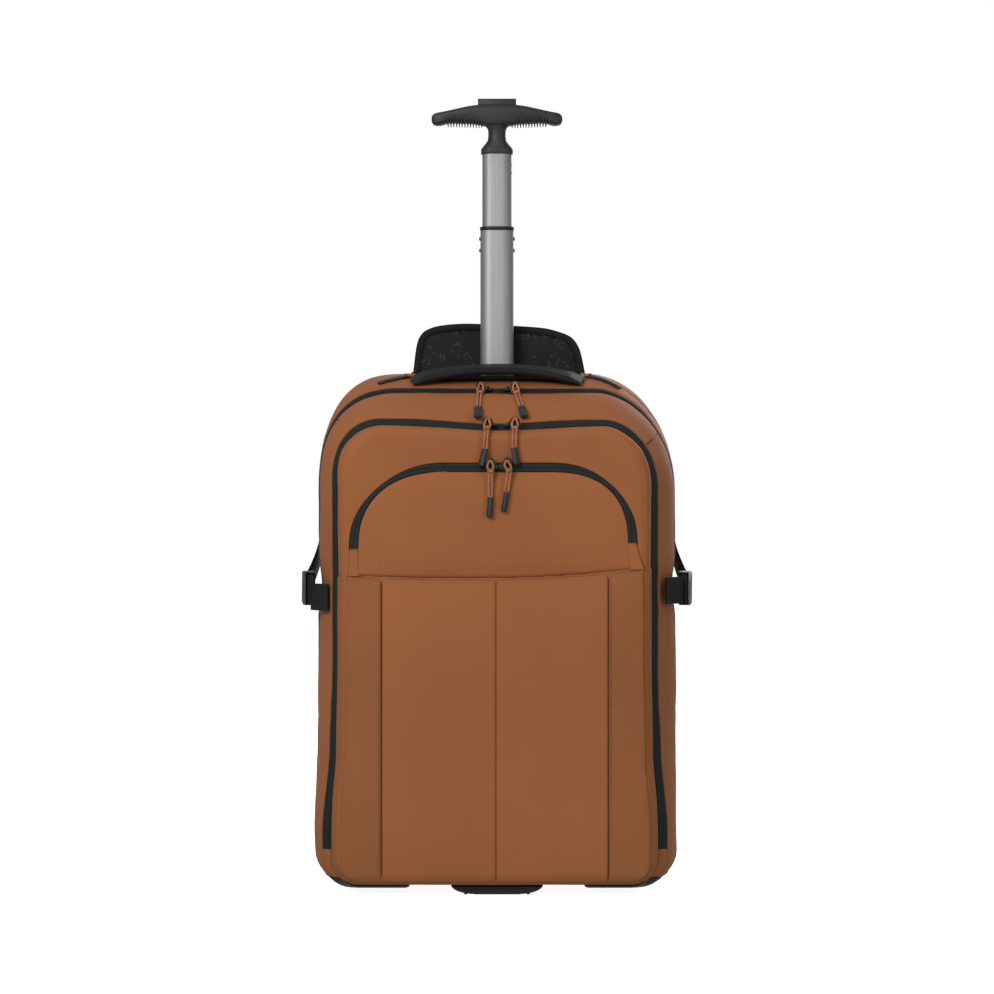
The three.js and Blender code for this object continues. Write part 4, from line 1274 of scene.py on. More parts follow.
def shapePocketPanel():
    inset = arch["band"] / 2 - 0.5
    top = arch["top"] - inset
    high, wide = pocket["rows"], pocket["columns"]
    rows = []
    for r in range(high + 1):
        v = -math.cos(math.pi * r / high) if r > high / 2 else -1 + 2 * r / high
        row = []
        for c in range(wide + 1):
            u = math.sin(math.pi / 2 * (2 * c / wide - 1) * 0.94) / math.sin(math.pi / 2 * 0.94)
            guess = u * 125
            low = seamAt(guess)
            z = (low + top) / 2 + v * (top - low) / 2
            reach = archReach(z, -1 if u < 0 else 1, inset)
            x = u * reach
            z = max(z, seamAt(x)) if r else seamAt(x)
            lift = (1 - abs(u) ** 5) * (1 - abs(v) ** 4)
            row.append(place(x, pocket["edge"] - 0.6 - pocket["bulge"] * lift, z))
        rows.append(row)

    def lift(r, c, p):
        x, z = p.x / mm, p.z / mm
        low = seamAt(x)
        gap = z - low
        tuck = -1.6 * mm * bell(gap, 1.5)
        pleat = 0.45 * mm * wander((x / 9, gap / 90, 4), 1, 1) * bell(gap, 14)
        crease = -0.7 * mm * bell(x + 109.5 + (gap - 12) * 0.05, 0.9) * bell(gap - 10, 14)
        soft = wander(p, 0.07, 0.9 * mm, 41) + wander(p, 0.028, 0.2 * mm, 43)
        rim = min(r, high - r, c, wide - c)
        return soft * min(1.0, rim / 6) + pleat + crease + tuck

    # the cross seam is darkened, partly as the seam's line, partly as painted shade in its tuck; the rim by
    # the zip is darkened as painted shade
    def seam(r, c, p):
        x, z = p.x / mm, p.z / mm
        return max(0.85 * bell(z - seamAt(x), 0.8), 0.35 * bell(min(c, wide - c, high - r), 0.8))

    obj = clothSheet("pocketPanel", rows, lift=lift, seam=seam, flatUv=True)
    thicken(obj, pocket["thick"] * mm)
    return finishPiece(obj, orangeCloth, stands=("upper_pocket_panel",), angle=70)


shapePocketPanel()

# ---- lower front panel: four fields between a plain fold and two stitched seams

lowerPanel = {"low": 14, "corner": 16, "bulge": 6.5, "edge": 2.5, "thick": 1.6, "rows": 96,
              "halfTop": 147.5, "halfLow": 152.5, "seams": (-109.7, -1.0, 105.9), "stitched": (-109.7, 105.9)}


def lowerReach(z):
    v = lowerPanel
    slope = v["halfTop"] + (v["halfLow"] - v["halfTop"]) * (arch["seam"] - z) / (arch["seam"] - v["low"])
    short = max(0.0, v["low"] + v["corner"] - z) / v["corner"]
    return slope - v["corner"] * (1 - math.sqrt(max(0.0, 1 - short * short)))


def lowerColumns():
    marks = {-1.0, 1.0}
    for at in lowerPanel["seams"]:
        for gap in (-7, -4, -2.4, -1.4, -0.7, 0, 0.7, 1.4, 2.4, 4, 7):
            marks.add(round((at + gap) / 150, 5))
    for i in range(1, 96):
        u = math.sin(math.pi / 2 * (2 * i / 96 - 1) * 0.9) / math.sin(math.pi / 2 * 0.9)
        if all(abs(u - m) > 0.006 for m in marks):
            marks.add(u)
    return sorted(marks)


def lowerLift(x, z, u, v):
    # how far the panel stands out, mm
    swell = lowerPanel["bulge"] * (1 - abs(u) ** 5) * (1 - abs(v) ** 5)
    for at in lowerPanel["seams"]:
        deep = 1.5 if at in lowerPanel["stitched"] else 1.0
        swell -= deep * bell(x - at, 1.0) + 0.5 * bell(x - at, 7)
    return swell


def rimX(depth, z, side):
    # half width of the front compartment at a depth and height
    half, halfLow, top, bottom, cornerX, cornerZ, cornerLow = sectionAt(depth)
    wide = half + (halfLow - half) * clamp((top - cornerZ - z) / (top - cornerZ - bottom - cornerLow))
    short = min(0.985, max(0.0, bottom + cornerLow - z) / cornerLow)
    return wide - cornerLow * (1 - math.sqrt(1 - short * short)) - frontWaist(depth, z, side)


def shapeLowerPanel():
    columns = lowerColumns()
    wrap = ((7.0, 1.2), (10, 1.2), (13, 1.2), (16.5, 1.1), (20, 0.9), (22.5, 0.4), (24.3, -0.8))
    high = lowerPanel["rows"]
    rows = []
    for r in range(high + 1):
        v = -math.cos(math.pi * r / high) * 0.35 + (-1 + 2 * r / high) * 0.65
        row = []
        for u in columns:
            top = seamAt(u * 148)
            z = lowerPanel["low"] + (v + 1) / 2 * (top - lowerPanel["low"])
            reach = lowerReach(min(z, arch["seam"]))
            x = u * 150
            if abs(u) >= 0.8 or z <= 34:
                x += (reach - 150) * u * min(1.0, abs(u)) ** 8
            drawn = frontWaist(4, z, u) - 1.0
            x = max(-reach - bodyShape["lean"] + drawn, min(reach - bodyShape["lean"] - drawn, x))
            back = 3.0 * max(0.0, (abs(u) - 0.9) / 0.1) ** 2 + 2.2 * max(0.0, (-v - 0.95) / 0.05) ** 2
            row.append(place(x, lowerPanel["edge"] - 0.5 - lowerLift(x, z, u, v) + back, z))
        for side in (-1, 1):
            z = (row[0] if side < 0 else row[-1]).z / mm
            for depth, proud in wrap:
                spot = place(side * (rimX(depth, z, side) + proud) - bodyShape["lean"], depth, z)
                row.insert(0 if side < 0 else len(row), spot)
        rows.append(row)

    def nearSeam(x):
        return min(abs(x - at) for at in lowerPanel["seams"])

    def lift(r, c, p):
        x, z = p.x / mm, p.z / mm
        gap = seamAt(x) - z
        tuck = -1.5 * mm * bell(gap, 1.4)
        rim = min(1.0, max(0, min(r, high - r, c - len(wrap), len(columns) + len(wrap) - 1 - c)) / 5)
        soft = wander(p, 0.08, 0.8 * mm, 51) + wander(p, 0.03, 0.2 * mm, 53)
        pull = wander((x / 7, z / 11, 9), 1, 0.35 * mm) * bell(nearSeam(x) - 2.5, 4)
        return soft * rim + pull * rim + tuck

    # the stitched seams and the cross seam are darkened, partly as seam lines, partly as painted shade in
    # their grooves; the plain fold's dark line is painted shade only
    def seam(r, c, p):
        x, z = p.x / mm, p.z / mm
        fold = 0.0
        for at in lowerPanel["seams"]:
            fold = max(fold, (0.95 if at in lowerPanel["stitched"] else 0.7) * bell(x - at, 0.65))
        return max(fold, 0.85 * bell(seamAt(x) - z, 0.7), 0.3 * bell(seamAt(x) - z - 3.2, 0.8))

    obj = clothSheet("lowerPanel", rows, lift=lift, seam=seam, flatUv=True)
    for face in obj.data.polygons:
        if not lowerPanel["stitched"][0] < face.center.x / mm < lowerPanel["stitched"][1]:
            face.material_index = 1
    thicken(obj, lowerPanel["thick"] * mm)
    finishPiece(obj, (orangeCloth, orangeTwill), stands=("lower_front_panel",),
                angle=70)
    for side, at in zip(("left", "right"), lowerPanel["stitched"]):
        beside = at + (-2.3 if side == "left" else 2.3)
        path = []
        for i in range(60):
            v = -0.93 + 1.88 * i / 59
            z = lowerPanel["low"] + (v + 1) / 2 * (seamAt(at) - lowerPanel["low"])
            depth = lowerPanel["edge"] - 0.5 - lowerLift(beside, z, beside / 150, v)
            path.append(place(beside, depth - 0.25, z))
        stitches(f"panelStitch_{side}", path, [Vector((0, -1, 0))] * 2)


shapeLowerPanel()


def shapeGarage(side):
    # the short cloth strip from the end of the arched zip to the cross seam
    name = "left" if side < 0 else "right"
    top = arch["leftFoot"] if side < 0 else arch["rightFoot"]
    x0 = archPoint(0, 0, side)[0]
    rows = []
    for i in range(15):
        t = i / 14
        z = top + 2.0 - (top + 2.0 - seamAt(x0)) * t
        middle = x0 + (side * (arch["foot"] - z) * (0.22 if side > 0 else 0.0) if z < arch["foot"] else 0)
        half = 4.6 + (3.0 if side > 0 else 1.2) * t
        row = []
        for k in range(11):
            u = k / 5 - 1
            edge = 1.2 * abs(u) ** 6
            row.append(place(middle + u * half, 1.5 - 0.5 * (1 - u * u) + edge, z + 0.3 * u * u))
        rows.append(row)

    # painted shade: the strip's edges and its top, tucked under the zip's end, are darkened
    def seam(r, c, p):
        return max((0.25 if side < 0 else 0.95) * bell(min(c, 10 - c), 0.5), 0.5 * bell(r, 0.7))

    obj = clothSheet(f"zipGarage_{name}", rows, seam=seam, flatUv=True,
                     lift=lambda r, c, p: wander(p, 0.012, 0.3 * mm, 61))
    thicken(obj, 1.2 * mm)
    return finishPiece(obj, orangeCloth, stands=("front_shell",), angle=60)


shapeGarage(-1)
shapeGarage(1)
print("Stage: front panels and zips")

# ---- carry handle: a padded strap with stitched edges, sewn flat at both feet

topHandle = {"depth": 106, "half": 84, "crest": 505.6, "width": 30, "foot": topAt(106) + 2.4, "thick": 7.6,
             "stitchInset": 3.6}


def shapeTopHandle():
    v = topHandle
    stations = []
    count = 72
    for i in range(count + 1):
        u = 2 * i / count - 1
        rise = max(0.0, 1 - abs(u) ** 2.4) ** 1.1
        slope = 0.36 + (0.2 - 0.36) * rise
        fat = eased(clamp((1 - abs(u)) * 6))
        at = place(u * v["half"], v["depth"], v["foot"] + (v["crest"] - v["foot"]) * rise)
        along = Vector((1, 0, -u * 0.45 * (1 - rise * 0.4))).normalized()
        side = Vector((0, math.cos(slope), math.sin(slope)))
        side = (side - along * side.dot(along)).normalized()
        stations.append((at, side, along.cross(side), v["width"] - 1.5 * fat, 2.6 + (v["thick"] - 2.6) * fat))

    def lift(k, a, b):
        fat = min(1.0, stations[k][4] / v["thick"])
        groove = -0.5 * bell(abs(a) - 0.78, 0.07) * fat
        return groove + 0.25 * fat * noise.noise(Vector((k * 0.3, a * 2, 5)))

    obj = strapBody("carryHandle", stations, steps=56, power=3.0, lift=lift)
    finishPiece(obj, webbing, stands=("top_handle",), angle=70)
    for name, sign in (("front", -1), ("rear", 1)):
        path = []
        for at, side, normal, width, thick in stations[5:-5]:
            away = side * sign * (width / 2 - v["stitchInset"]) + normal * (thick / 2 - 0.35)
            path.append(at + away * mm)
        stitches(f"handleStitch_{name}", path, [stations[36][2]] * 2, material=threadBlack)


shapeTopHandle()

# ---- flap of the channel: a thin padded panel with a bound edge and a patterned lining

channelFlap = {
    "depth": 157, "thick": 4.4, "binding": 7.4, "low": 502,
    # its edge from the left foot over the top to the right foot, x and z
    "edge": ((-84.5, 500.5), (-83.2, 510), (-81.8, 522), (-79.4, 535), (-75.2, 543), (-69.6, 547.3),
             (-58.3, 551),
             (-36.9, 553.2), (-10, 552.8), (19.8, 551), (40, 549.6), (52, 547.9), (67.3, 543.3), (75, 539),
             (80.5, 532), (84.1, 522.6), (88.7, 500.5)),
    "gaps": (0, 0.7, 2, 3.6, 5.2, 6.5, 7.4, 8.3, 9.8, 12),
}


def shapeFlap():
    v = channelFlap
    edge = smoothPath([place(x, v["depth"], z) for x, z in v["edge"]], 150)
    last = len(edge) - 1
    rows, gaps = [], []
    inward = []
    for i in range(last + 1):
        along = (edge[min(last, i + 3)] - edge[max(0, i - 3)]).normalized()
        inward.append(Vector((along.z, 0, -along.x)))
    for gap in v["gaps"]:
        rows.append([p + n * gap * mm for p, n in zip(edge, inward)])
        gaps.append(gap)
    inner = rows[-1]
    for k in range(1, 9):
        t = k / 8
        row = []
        for i, p in enumerate(inner):
            row.append(p.lerp(place(-24 + 48 * i / last, v["depth"], v["low"] - 1), t))
        rows.append(row)
        gaps.append(v["gaps"][-1] + 26 * t)

    def lift(r, c, p):
        gap = gaps[r]
        pad = 1.4 * mm * (1 - math.exp(-max(0.0, gap - v["binding"]) / 9))
        groove = -0.9 * mm * bell(gap - v["binding"], 1.0)
        bead = 0.5 * mm * math.sin(math.pi * min(1.0, gap / v["binding"]))
        fade = 1.0 if gap > 0.5 else 0.0
        return (pad + groove + bead) * fade + wander(p, 0.035, 1.3 * mm, 71) * min(1.0, gap / 8)

    # painted shade: the groove between the bound edge and the pad is darkened
    def seam(r, c, p):
        return 0.8 * bell(gaps[r] - v["binding"], 0.9)

    obj = clothSheet("channelFlapCloth", rows, lift=lift, seam=seam, centre=place(0, 190, 520), flatUv=True)
    for face in obj.data.polygons:
        row = min(i // (last + 1) for i in face.vertices)
        face.material_index = 1 if gaps[row] >= v["binding"] - 1.0 else 0
    thicken(obj, v["thick"] * mm, innerSlot=0)
    addModifier(obj, "BEVEL", width=0.9 * mm, segments=2, limit_method="ANGLE", angle_limit=1.0)
    applyModifiers(obj)
    for face in obj.data.polygons:
        if face.normal.y > 0.6:
            face.material_index = 0
    finishPiece(obj, (blackCloth, liningCloth), stands=("channel_flap",), angle=60)


shapeFlap()

# ---- open zip ends beside the channel's mouth

flapZips = {"left": ((86, 127), (95, 120), (105, 112.5), (116, 105.5)),
            "right": ((88, 127), (98, 120), (109, 113.5), (121, 108)), "width": 8.6}


def shapeFlapZip(side):
    sign = -1 if side == "left" else 1
    points = [place(sign * x, d, topAt(d, sign * x) + 1.6) for x, d in flapZips[side]]
    path = smoothPath(points, 26)

    def width(t):
        return flapZips["width"] * (1 - 0.25 * t ** 2)

    stations = strapStations(path, (0.3 * sign, 0.9, 0.3), width, 2.0)
    obj = strapBody(f"flapZip_{side}", stations, steps=20, power=3.0,
                    lift=lambda k, a, b: -0.45 * bell(a, 0.12) if b > 0 else 0.0)
    finishPiece(obj, zipTape, stands=(f"flap_zip_{side}",), angle=60)
    # the cloth tab that closes the zip's end
    x, d = flapZips[side][0]
    tab = [place(sign * (x + k * 2.2 - 5.0), d + 2.4 - k * 1.3, topAt(d, sign * x) + 2.2) for k in range(5)]
    stations = strapStations(smoothPath(tab, 10), (0.3 * sign, 0.9, 0.3), 7.4, 2.2)
    obj = strapBody(f"flapZipTab_{side}", stations, steps=16, power=3.0)
    finishPiece(obj, orangeCloth, angle=60)


shapeFlapZip("left")
shapeFlapZip("right")
print("Stage: handle and flap")

# ---- trolley tubes

trolley = {
    "depth": 140, "roundness": 0.46,
    "lower": {"width": 33, "deep": 24, "wall": 1.3, "bottom": 270, "top": 644.6},
    "upper": {"width": 29.2, "deep": 20.2, "wall": 1.2, "bottom": 402, "top": 722.8},
    "sleeve": {"width": 37, "deep": 28, "wall": 0.6, "bottom": 14.4, "top": 422},
    "collar": {"width": 34, "deep": 25, "wall": 1.95, "bottom": 644.9, "top": 648.2},
}


def oblong(turn, width, deep):
    # a point on a rounded oblong, by its angle
    radius = deep * trolley["roundness"]
    reach = 2 * math.pi * turn
    quarter = int(turn * 4) % 4
    cx = (width / 2 - radius) * (1 if quarter in (0, 3) else -1)
    cy = (deep / 2 - radius) * (1 if quarter in (0, 1) else -1)
    return cx + radius * math.cos(reach), cy + radius * math.sin(reach)


def startOblong(name, steps, width, deep, z):
    # a closed line of points in edit mode, ready to be drawn out upwards
    bpy.ops.object.select_all(action="DESELECT")
    bpy.ops.mesh.primitive_circle_add(vertices=steps, radius=1, fill_type="NOTHING", location=(0, 0, 0))
    obj = bpy.context.object
    obj.name = name
    for v in obj.data.vertices:
        x, y = oblong((v.index + 0.5) / steps, width, deep)
        v.co = place(x, trolley["depth"] + y, z)
    enterEdit("VERT")
    return obj


def drawUp(rise):
    bpy.ops.mesh.extrude_region_move(TRANSFORM_OT_translate={"value": (0, 0, rise * mm)})


def modelTube(name, values, material, body, stands, rounding=0.35):
    obj = startOblong(name, 96, values["width"], values["deep"], values["bottom"])
    drawUp(values["top"] - values["bottom"])
    leaveEdit()
    turnOutward(obj)
    addModifier(obj, "SOLIDIFY", thickness=values["wall"] * mm, offset=-1, use_even_offset=True)
    bevelled(obj, rounding, 2, 1.0)
    return finishPiece(obj, material, body=body, stands=stands, angle=40)


modelTube("tubeLower", trolley["lower"], brushedAluminium, "lower_stage",
          ("trolley_lower_stage",))
modelTube("tubeUpper", trolley["upper"], brushedAluminium, "upper_stage",
          ("trolley_upper_stage",))
modelTube("tubeSleeve", trolley["sleeve"], blackPlastic, "bag", ("trolley_sleeve",))
modelTube("tubeCollar", trolley["collar"], blackPlastic, "lower_stage", ("trolley_collar",),
          0.6)

rivets = {"radius": 1.9, "high": 0.9, "lower": (636.5, 625.0), "upper": (709.5, 702.0)}


def modelRivet(name, x, z, sign, body, rise=0.3):
    # a domed head on the tube's side
    obj = startDisc(name, rivets["radius"], rivets["high"], place(x + sign * rise, trolley["depth"], z), 20)
    editFaces(obj, lambda f: f.normal.x * sign > 0.9)
    for inset, push in ((0.7, 0.45), (0.5, 0.12)):
        bpy.ops.mesh.inset(thickness=inset * mm)
        bpy.ops.transform.translate(value=(sign * push * mm, 0, 0))
    leaveEdit()
    bevelled(obj, 0.15, 2, 0.5)
    finishPiece(obj, darkMetal, body=body, angle=60)


for sign, side in ((-1, "left"), (1, "right")):
    for k, z in enumerate(rivets["lower"]):
        modelRivet(f"rivetLower_{side}_{k}", sign * trolley["lower"]["width"] / 2, z, sign, "lower_stage")
for k, z in enumerate(rivets["upper"]):
    modelRivet(f"rivetUpper_right_{k}", trolley["upper"]["width"] / 2, z, 1, "upper_stage", -0.6)

# ---- grip: a shallow crescent with finger ribs, on a flared neck, with a push button on top

grip = {
    "top": 770.5, "low": 748.3, "half": 65, "foot": 720.6, "rim": 0.8,
    # across from the middle: place, underside, top, depth
    "stations": ((0, 0.0, 0.0, 26), (10, 0.0, -0.1, 26), (20, 0.1, -0.6, 26), (30, 0.4, -2.2, 25.4),
                 (40, 0.9, -4.4, 24.4), (48, 1.1, -6.2, 23.2), (55, 1.0, -7.6, 21.5), (60, 0.9, -8.3, 19.5),
                 (63.4, 1.9, -9.6, 16.5), (65, 4.6, -12.2, 11)),
    "ribs": 13, "ribFrom": 15.2, "ribPitch": 2.78, "rib": (1.75, 25.0, 7.4),
}


def modelGripBar():
    # a unit block, cut along its stations and then moved to them
    obj = startBlock("gripBar", (1 / mm,) * 3)
    half = grip["half"]
    enterEdit()
    cutAcross(0, sorted({s * x / (2 * half) for x, a, b, d in grip["stations"][:-1] for s in (-1, 1)}))
    cutAcross(1, (-0.36, 0.36))
    cutAcross(2, (-0.3, 0.22))
    leaveEdit()
    for v in obj.data.vertices:
        x = abs(v.co.x) * 2 * half
        k = min(range(len(grip["stations"])), key=lambda i: abs(grip["stations"][i][0] - x))
        at, under, over, deep = grip["stations"][k]
        comb = 1.0 if 15 < at < 52 and v.co.z < -0.25 else 0.0
        under += 2.6 * comb
        deep *= 1 - 0.12 * comb
        low, high = grip["low"] + under, grip["top"] + over
        z = low + (high - low) * (v.co.z + 0.5)
        crown = 1 - 0.16 * (abs(v.co.z) * 2) ** 3
        y = v.co.y * deep * crown
        z -= 1.6 * (abs(v.co.y) * 2) ** 4 if v.co.z > 0.4 else 0.0
        v.co = place(math.copysign(at, v.co.x) if abs(v.co.x) > 1e-4 else 0, trolley["depth"] + y, z)
    addModifier(obj, "BEVEL", width=2.2 * mm, segments=2, limit_method="ANGLE", angle_limit=0.9)
    addModifier(obj, "SUBSURF", levels=2, render_levels=2)
    applyModifiers(obj)
    return finishPiece(obj, gripPlastic, body="upper_stage", stands=("trolley_grip",),
                       angle=50)


def modelGripNeck():
    # a tapered collar that closes over the tube, drawn in to the neck
    foot = grip["foot"]
    wide, deep = trolley["upper"]["width"] + 2 * grip["rim"], trolley["upper"]["deep"] + 2 * grip["rim"]
    levels = ((wide, deep, foot + 0.1), (wide, deep, foot + 4.4), (wide - 0.8, deep - 0.6, foot + 5.2),
              (24.5, 20, foot + 8.6), (19.2, 18.6, foot + 12.0), (17.2, 18, foot + 14.0),
              (16.4, 17.4, foot + 18),
              (16.6, 17.4, foot + 23.5), (19, 18.2, foot + 26.6), (24, 19.5, foot + 28.6))
    obj = startOblong("gripNeck", 64, *levels[0])
    for k in range(1, len(levels)):
        drawUp(levels[k][2] - levels[k - 1][2])
    leaveEdit()
    for v in obj.data.vertices:
        k = min(range(len(levels)), key=lambda i: abs(levels[i][2] * mm - v.co.z))
        x, y = oblong((v.index % 64 + 0.5) / 64, *levels[k][:2])
        v.co = place(x, trolley["depth"] + y, levels[k][2])
    turnOutward(obj)
    addModifier(obj, "SOLIDIFY", thickness=0.5 * mm, offset=-1, use_even_offset=True)
    bevelled(obj, 0.4, 2, 0.9)
    return finishPiece(obj, gripPlastic, body="upper_stage", stands=("trolley_grip",),
                       angle=50)


def modelGripRibs():
    # one rounded finger rib, modelled once and set along both halves of the underside
    rib = startBlock("gripRib", grip["rib"])
    editFaces(rib, lambda f: f.normal.z < -0.9)
    bpy.ops.transform.resize(value=(0.62, 0.88, 1))
    leaveEdit()
    addModifier(rib, "BEVEL", width=0.45 * mm, segments=2)
    applyModifiers(rib)
    copies = []
    for sign in (-1, 1):
        for k in range(grip["ribs"]):
            x = sign * (grip["ribFrom"] + k * grip["ribPitch"])
            under = min(1.0, (abs(x) - 15) / 30)
            one = cloneOf(rib, "gripRibCopy")
            one.data.transform(Matrix.Translation(place(x, trolley["depth"], grip["low"] + under + 3.1)))
            copies.append(one)
    bpy.data.objects.remove(rib)
    obj = joinPieces("gripRibs", copies)
    return finishPiece(obj, gripPlastic, body="upper_stage", angle=50)


button = {"half": 19, "deep": 15, "low": 766.3, "top": 775.4, "dish": ((2.0, -0.9), (1.2, 0.3))}


def modelButton():
    v = button
    obj = startBlock("gripButton", (2 * v["half"], v["deep"], v["top"] - v["low"]),
                     (0, trolley["depth"] + frontY, (v["low"] + v["top"]) / 2))
    editFaces(obj, lambda f: f.normal.z > 0.9)
    for inset, push in v["dish"]:
        bpy.ops.mesh.inset(thickness=inset * mm)
        bpy.ops.transform.translate(value=(0, 0, push * mm))
    leaveEdit()
    bevelled(obj, 0.8, 3)
    return finishPiece(obj, gripPlastic, body="button", stands=("trolley_button",),
                       angle=40)


modelGripBar()
modelGripNeck()
modelGripRibs()
modelButton()
print("Stage: trolley")

# ---- zip sliders: body, bridge and the eye that takes the cord

sliders = {
    "size": (9.4, 7.4), "ring": (4.1, 6.0, 0.85),
    # place and slope of each body, then the place and lean of the ring that it carries
    "zip_main_slider_left": ((-8.8, 86.5, topAt(86.5) + 1.4, 0.46), (-15.8, 78.7, 486.4, 0.36)),
    "zip_main_slider_right": ((10.6, 86.5, topAt(86.5) + 1.4, 0.46), (17.6, 78.7, 486.8, 0.36)),
    "zip_front_slider_left": ((-4.4, 28, topAt(28) - 2.3, 0.42), (-9.1, 15.6, 450.6, 0.5)),
    "zip_front_slider_right": ((11, 28, topAt(28) - 2.3, 0.42), (17.0, 15.6, 450.6, 0.5)),
    "zip_pocket_slider_left": ((-3.4, -0.55, 408.6, math.pi / 2), (-6.3, -4.4, 410.2, 0.02)),
    "zip_pocket_slider_right": ((6.0, -0.55, 408.6, math.pi / 2), (9.6, -4.4, 410.8, 0.02)),
}


def modelSlider():
    wide, long = sliders["size"]
    plate = startBlock("sliderMaster", (wide, long, 1.5), (0, 0, -0.5))
    editFaces(plate, lambda f: abs(f.normal.x) > 0.9)
    bpy.ops.transform.resize(value=(1, 0.62, 1))
    leaveEdit()
    editFaces(plate, lambda f: f.normal.z > 0.9)
    press(1.3, 0.7)
    press(0.8, 0.3)
    leaveEdit()
    bevelled(plate, 0.35, 2)
    bridge = startBlock("sliderBridge", (2.2, long - 1.6, 1.0), (0, 0, 1.6))
    editFaces(bridge, lambda f: abs(f.normal.y) > 0.9)
    bpy.ops.mesh.extrude_region_shrink_fatten(TRANSFORM_OT_shrink_fatten={"value": 0.5 * mm})
    bpy.ops.transform.translate(value=(0, 0, -0.9 * mm))
    leaveEdit()
    bevelled(bridge, 0.3, 2)
    return joinPieces("sliderMaster", [plate, bridge])


def modelRing():
    # an oval ring that faces forwards, with the short link that holds it to the slider
    across, high, radius = sliders["ring"]
    bpy.ops.object.select_all(action="DESELECT")
    bpy.ops.mesh.primitive_torus_add(major_radius=across * mm, minor_radius=radius * mm, major_segments=36,
                                     minor_segments=10, location=(0, 0, 0), rotation=(math.pi / 2, 0, 0))
    hoop = bpy.context.object
    pick(hoop)
    bpy.ops.object.transform_apply(location=True, rotation=True, scale=True)
    for half in (-1, 1):
        editFaces(hoop, lambda f: f.calc_center_median().z * half > 0)
        bpy.ops.transform.translate(value=(0, 0, half * (high - across) * mm))
        leaveEdit()
    holder = startBlock("ringLink", (2.4, 5.4, 1.5), (0, 2.6, high - 0.2))
    editFaces(holder, lambda f: f.normal.y > 0.9)
    bpy.ops.transform.translate(value=(0, 1.2 * mm, -2.4 * mm))
    leaveEdit()
    bevelled(holder, 0.35, 2)
    return joinPieces("ringMaster", [hoop, holder])


sliderMaster = modelSlider()
ringMaster = modelRing()
for node in [key for key in sliders if key.startswith("zip")]:
    (x, depth, z, tilt), (ringX, ringDepth, ringZ, lean) = sliders[node]
    body = cloneOf(sliderMaster, "sliderBody")
    body.data.transform(Matrix.Translation(place(x, depth, z)) @ Matrix.Rotation(tilt, 4, "X"))
    loop = cloneOf(ringMaster, "sliderRing")
    loop.data.transform(Matrix.Translation(place(ringX, ringDepth, ringZ)) @ Matrix.Rotation(-lean, 4, "X"))
    obj = joinPieces(node.replace("zip_", "slider_").replace("_slider", ""), [body, loop])
    finishPiece(obj, blackMetal, stands=(node,), angle=50)
bpy.data.objects.remove(ringMaster)
bpy.data.objects.remove(sliderMaster)

# ---- side straps: webbing and fastened side-release buckles

sideStraps = {
    "z": 283.5, "width": 26, "thick": 1.7, "buckle": (184.6, 82.5, 291.5), "turn": 0.17,
    "front": ((162.2, 35), (167.6, 42.5), (174, 50), (179.8, 58.5)),
    "rear": ((187.4, 110.5, 294), (184.4, 118, 299.5), (180, 130, 311), (177, 142, 322), (175.6, 152, 331)),
    "socket": (9.5, 24, 33), "plug": (8.4, 19, 31),
}


def modelSocket(name):
    # local frame: X thickness, Y along the strap, Z across it
    thick, long, wide = sideStraps["socket"]
    body = startBlock(name, (thick, long, wide))
    pick(body)
    enterEdit()
    cutAcross(1, (-6.0 * mm, 6.5 * mm))
    cutAcross(2, (-9.5 * mm, 9.5 * mm))
    leaveEdit()
    # release windows on both edges
    editFaces(body, lambda f: abs(f.normal.z) > 0.9 and abs(f.calc_center_median().y) < 6 * mm)
    press(1.2, -3.2)
    leaveEdit()
    # raised middle on both flats
    editFaces(body, lambda f: abs(f.normal.x) > 0.9 and abs(f.calc_center_median().z) < 8 * mm
              and abs(f.calc_center_median().y) < 5 * mm)
    press(1.6, 0.45)
    press(1.4, -0.3)
    leaveEdit()
    # webbing slot at the strap's end
    editFaces(body, lambda f: f.normal.y < -0.9)
    bpy.ops.mesh.inset(thickness=1.9 * mm)
    bpy.ops.transform.shrink_fatten(value=-4.0 * mm)
    leaveEdit()
    # waist: the two ends a little narrower
    for v in body.data.vertices:
        if v.co.y < -8 * mm:
            v.co.z *= 0.93
    bevelled(body, 0.8, 2)
    return body


def modelPlug(name):
    thick, long, wide = sideStraps["plug"]
    body = startBlock(name, (thick, long, wide))
    pick(body)
    enterEdit()
    cutAcross(1, (-3.5 * mm, -1.0 * mm, 3.0 * mm, 6.2 * mm))
    cutAcross(2, (-12.6 * mm, 12.6 * mm))
    leaveEdit()
    # the two slots that hold the webbing, pressed in from both flats
    for low, high in ((-3.5, -1.0), (3.0, 6.2)):
        editFaces(body, lambda f: abs(f.normal.x) > 0.9 and abs(f.calc_center_median().z) < 12 * mm
                  and low * mm < f.calc_center_median().y < high * mm)
        press(0.3, -3.0)
        leaveEdit()
    editFaces(body, lambda f: abs(f.normal.x) > 0.9 and f.calc_center_median().y > 6.2 * mm)
    bpy.ops.transform.resize(value=(0.72, 1, 1))
    leaveEdit()
    bevelled(body, 0.7, 2)
    prongs = []
    for turn in (-1, 1):
        prong = startBlock("prong", (4.6, 13, 4.2), (0, -13.5, turn * 12.7))
        editFaces(prong, lambda f: f.normal.y < -0.9)
        bpy.ops.transform.resize(value=(0.8, 1, 0.55))
        leaveEdit()
        prongs.append(bevelled(prong, 0.7, 2))
    return joinPieces(name, [body, *prongs])


def setBuckle(obj, sign, shift):
    x, depth, z = sideStraps["buckle"]
    turn = Matrix.Rotation(-sign * sideStraps["turn"], 4, "Z")
    obj.data.transform(Matrix.Translation(place(sign * x, depth, z)) @ turn
                       @ Matrix.Translation((0, shift * mm, 0)))


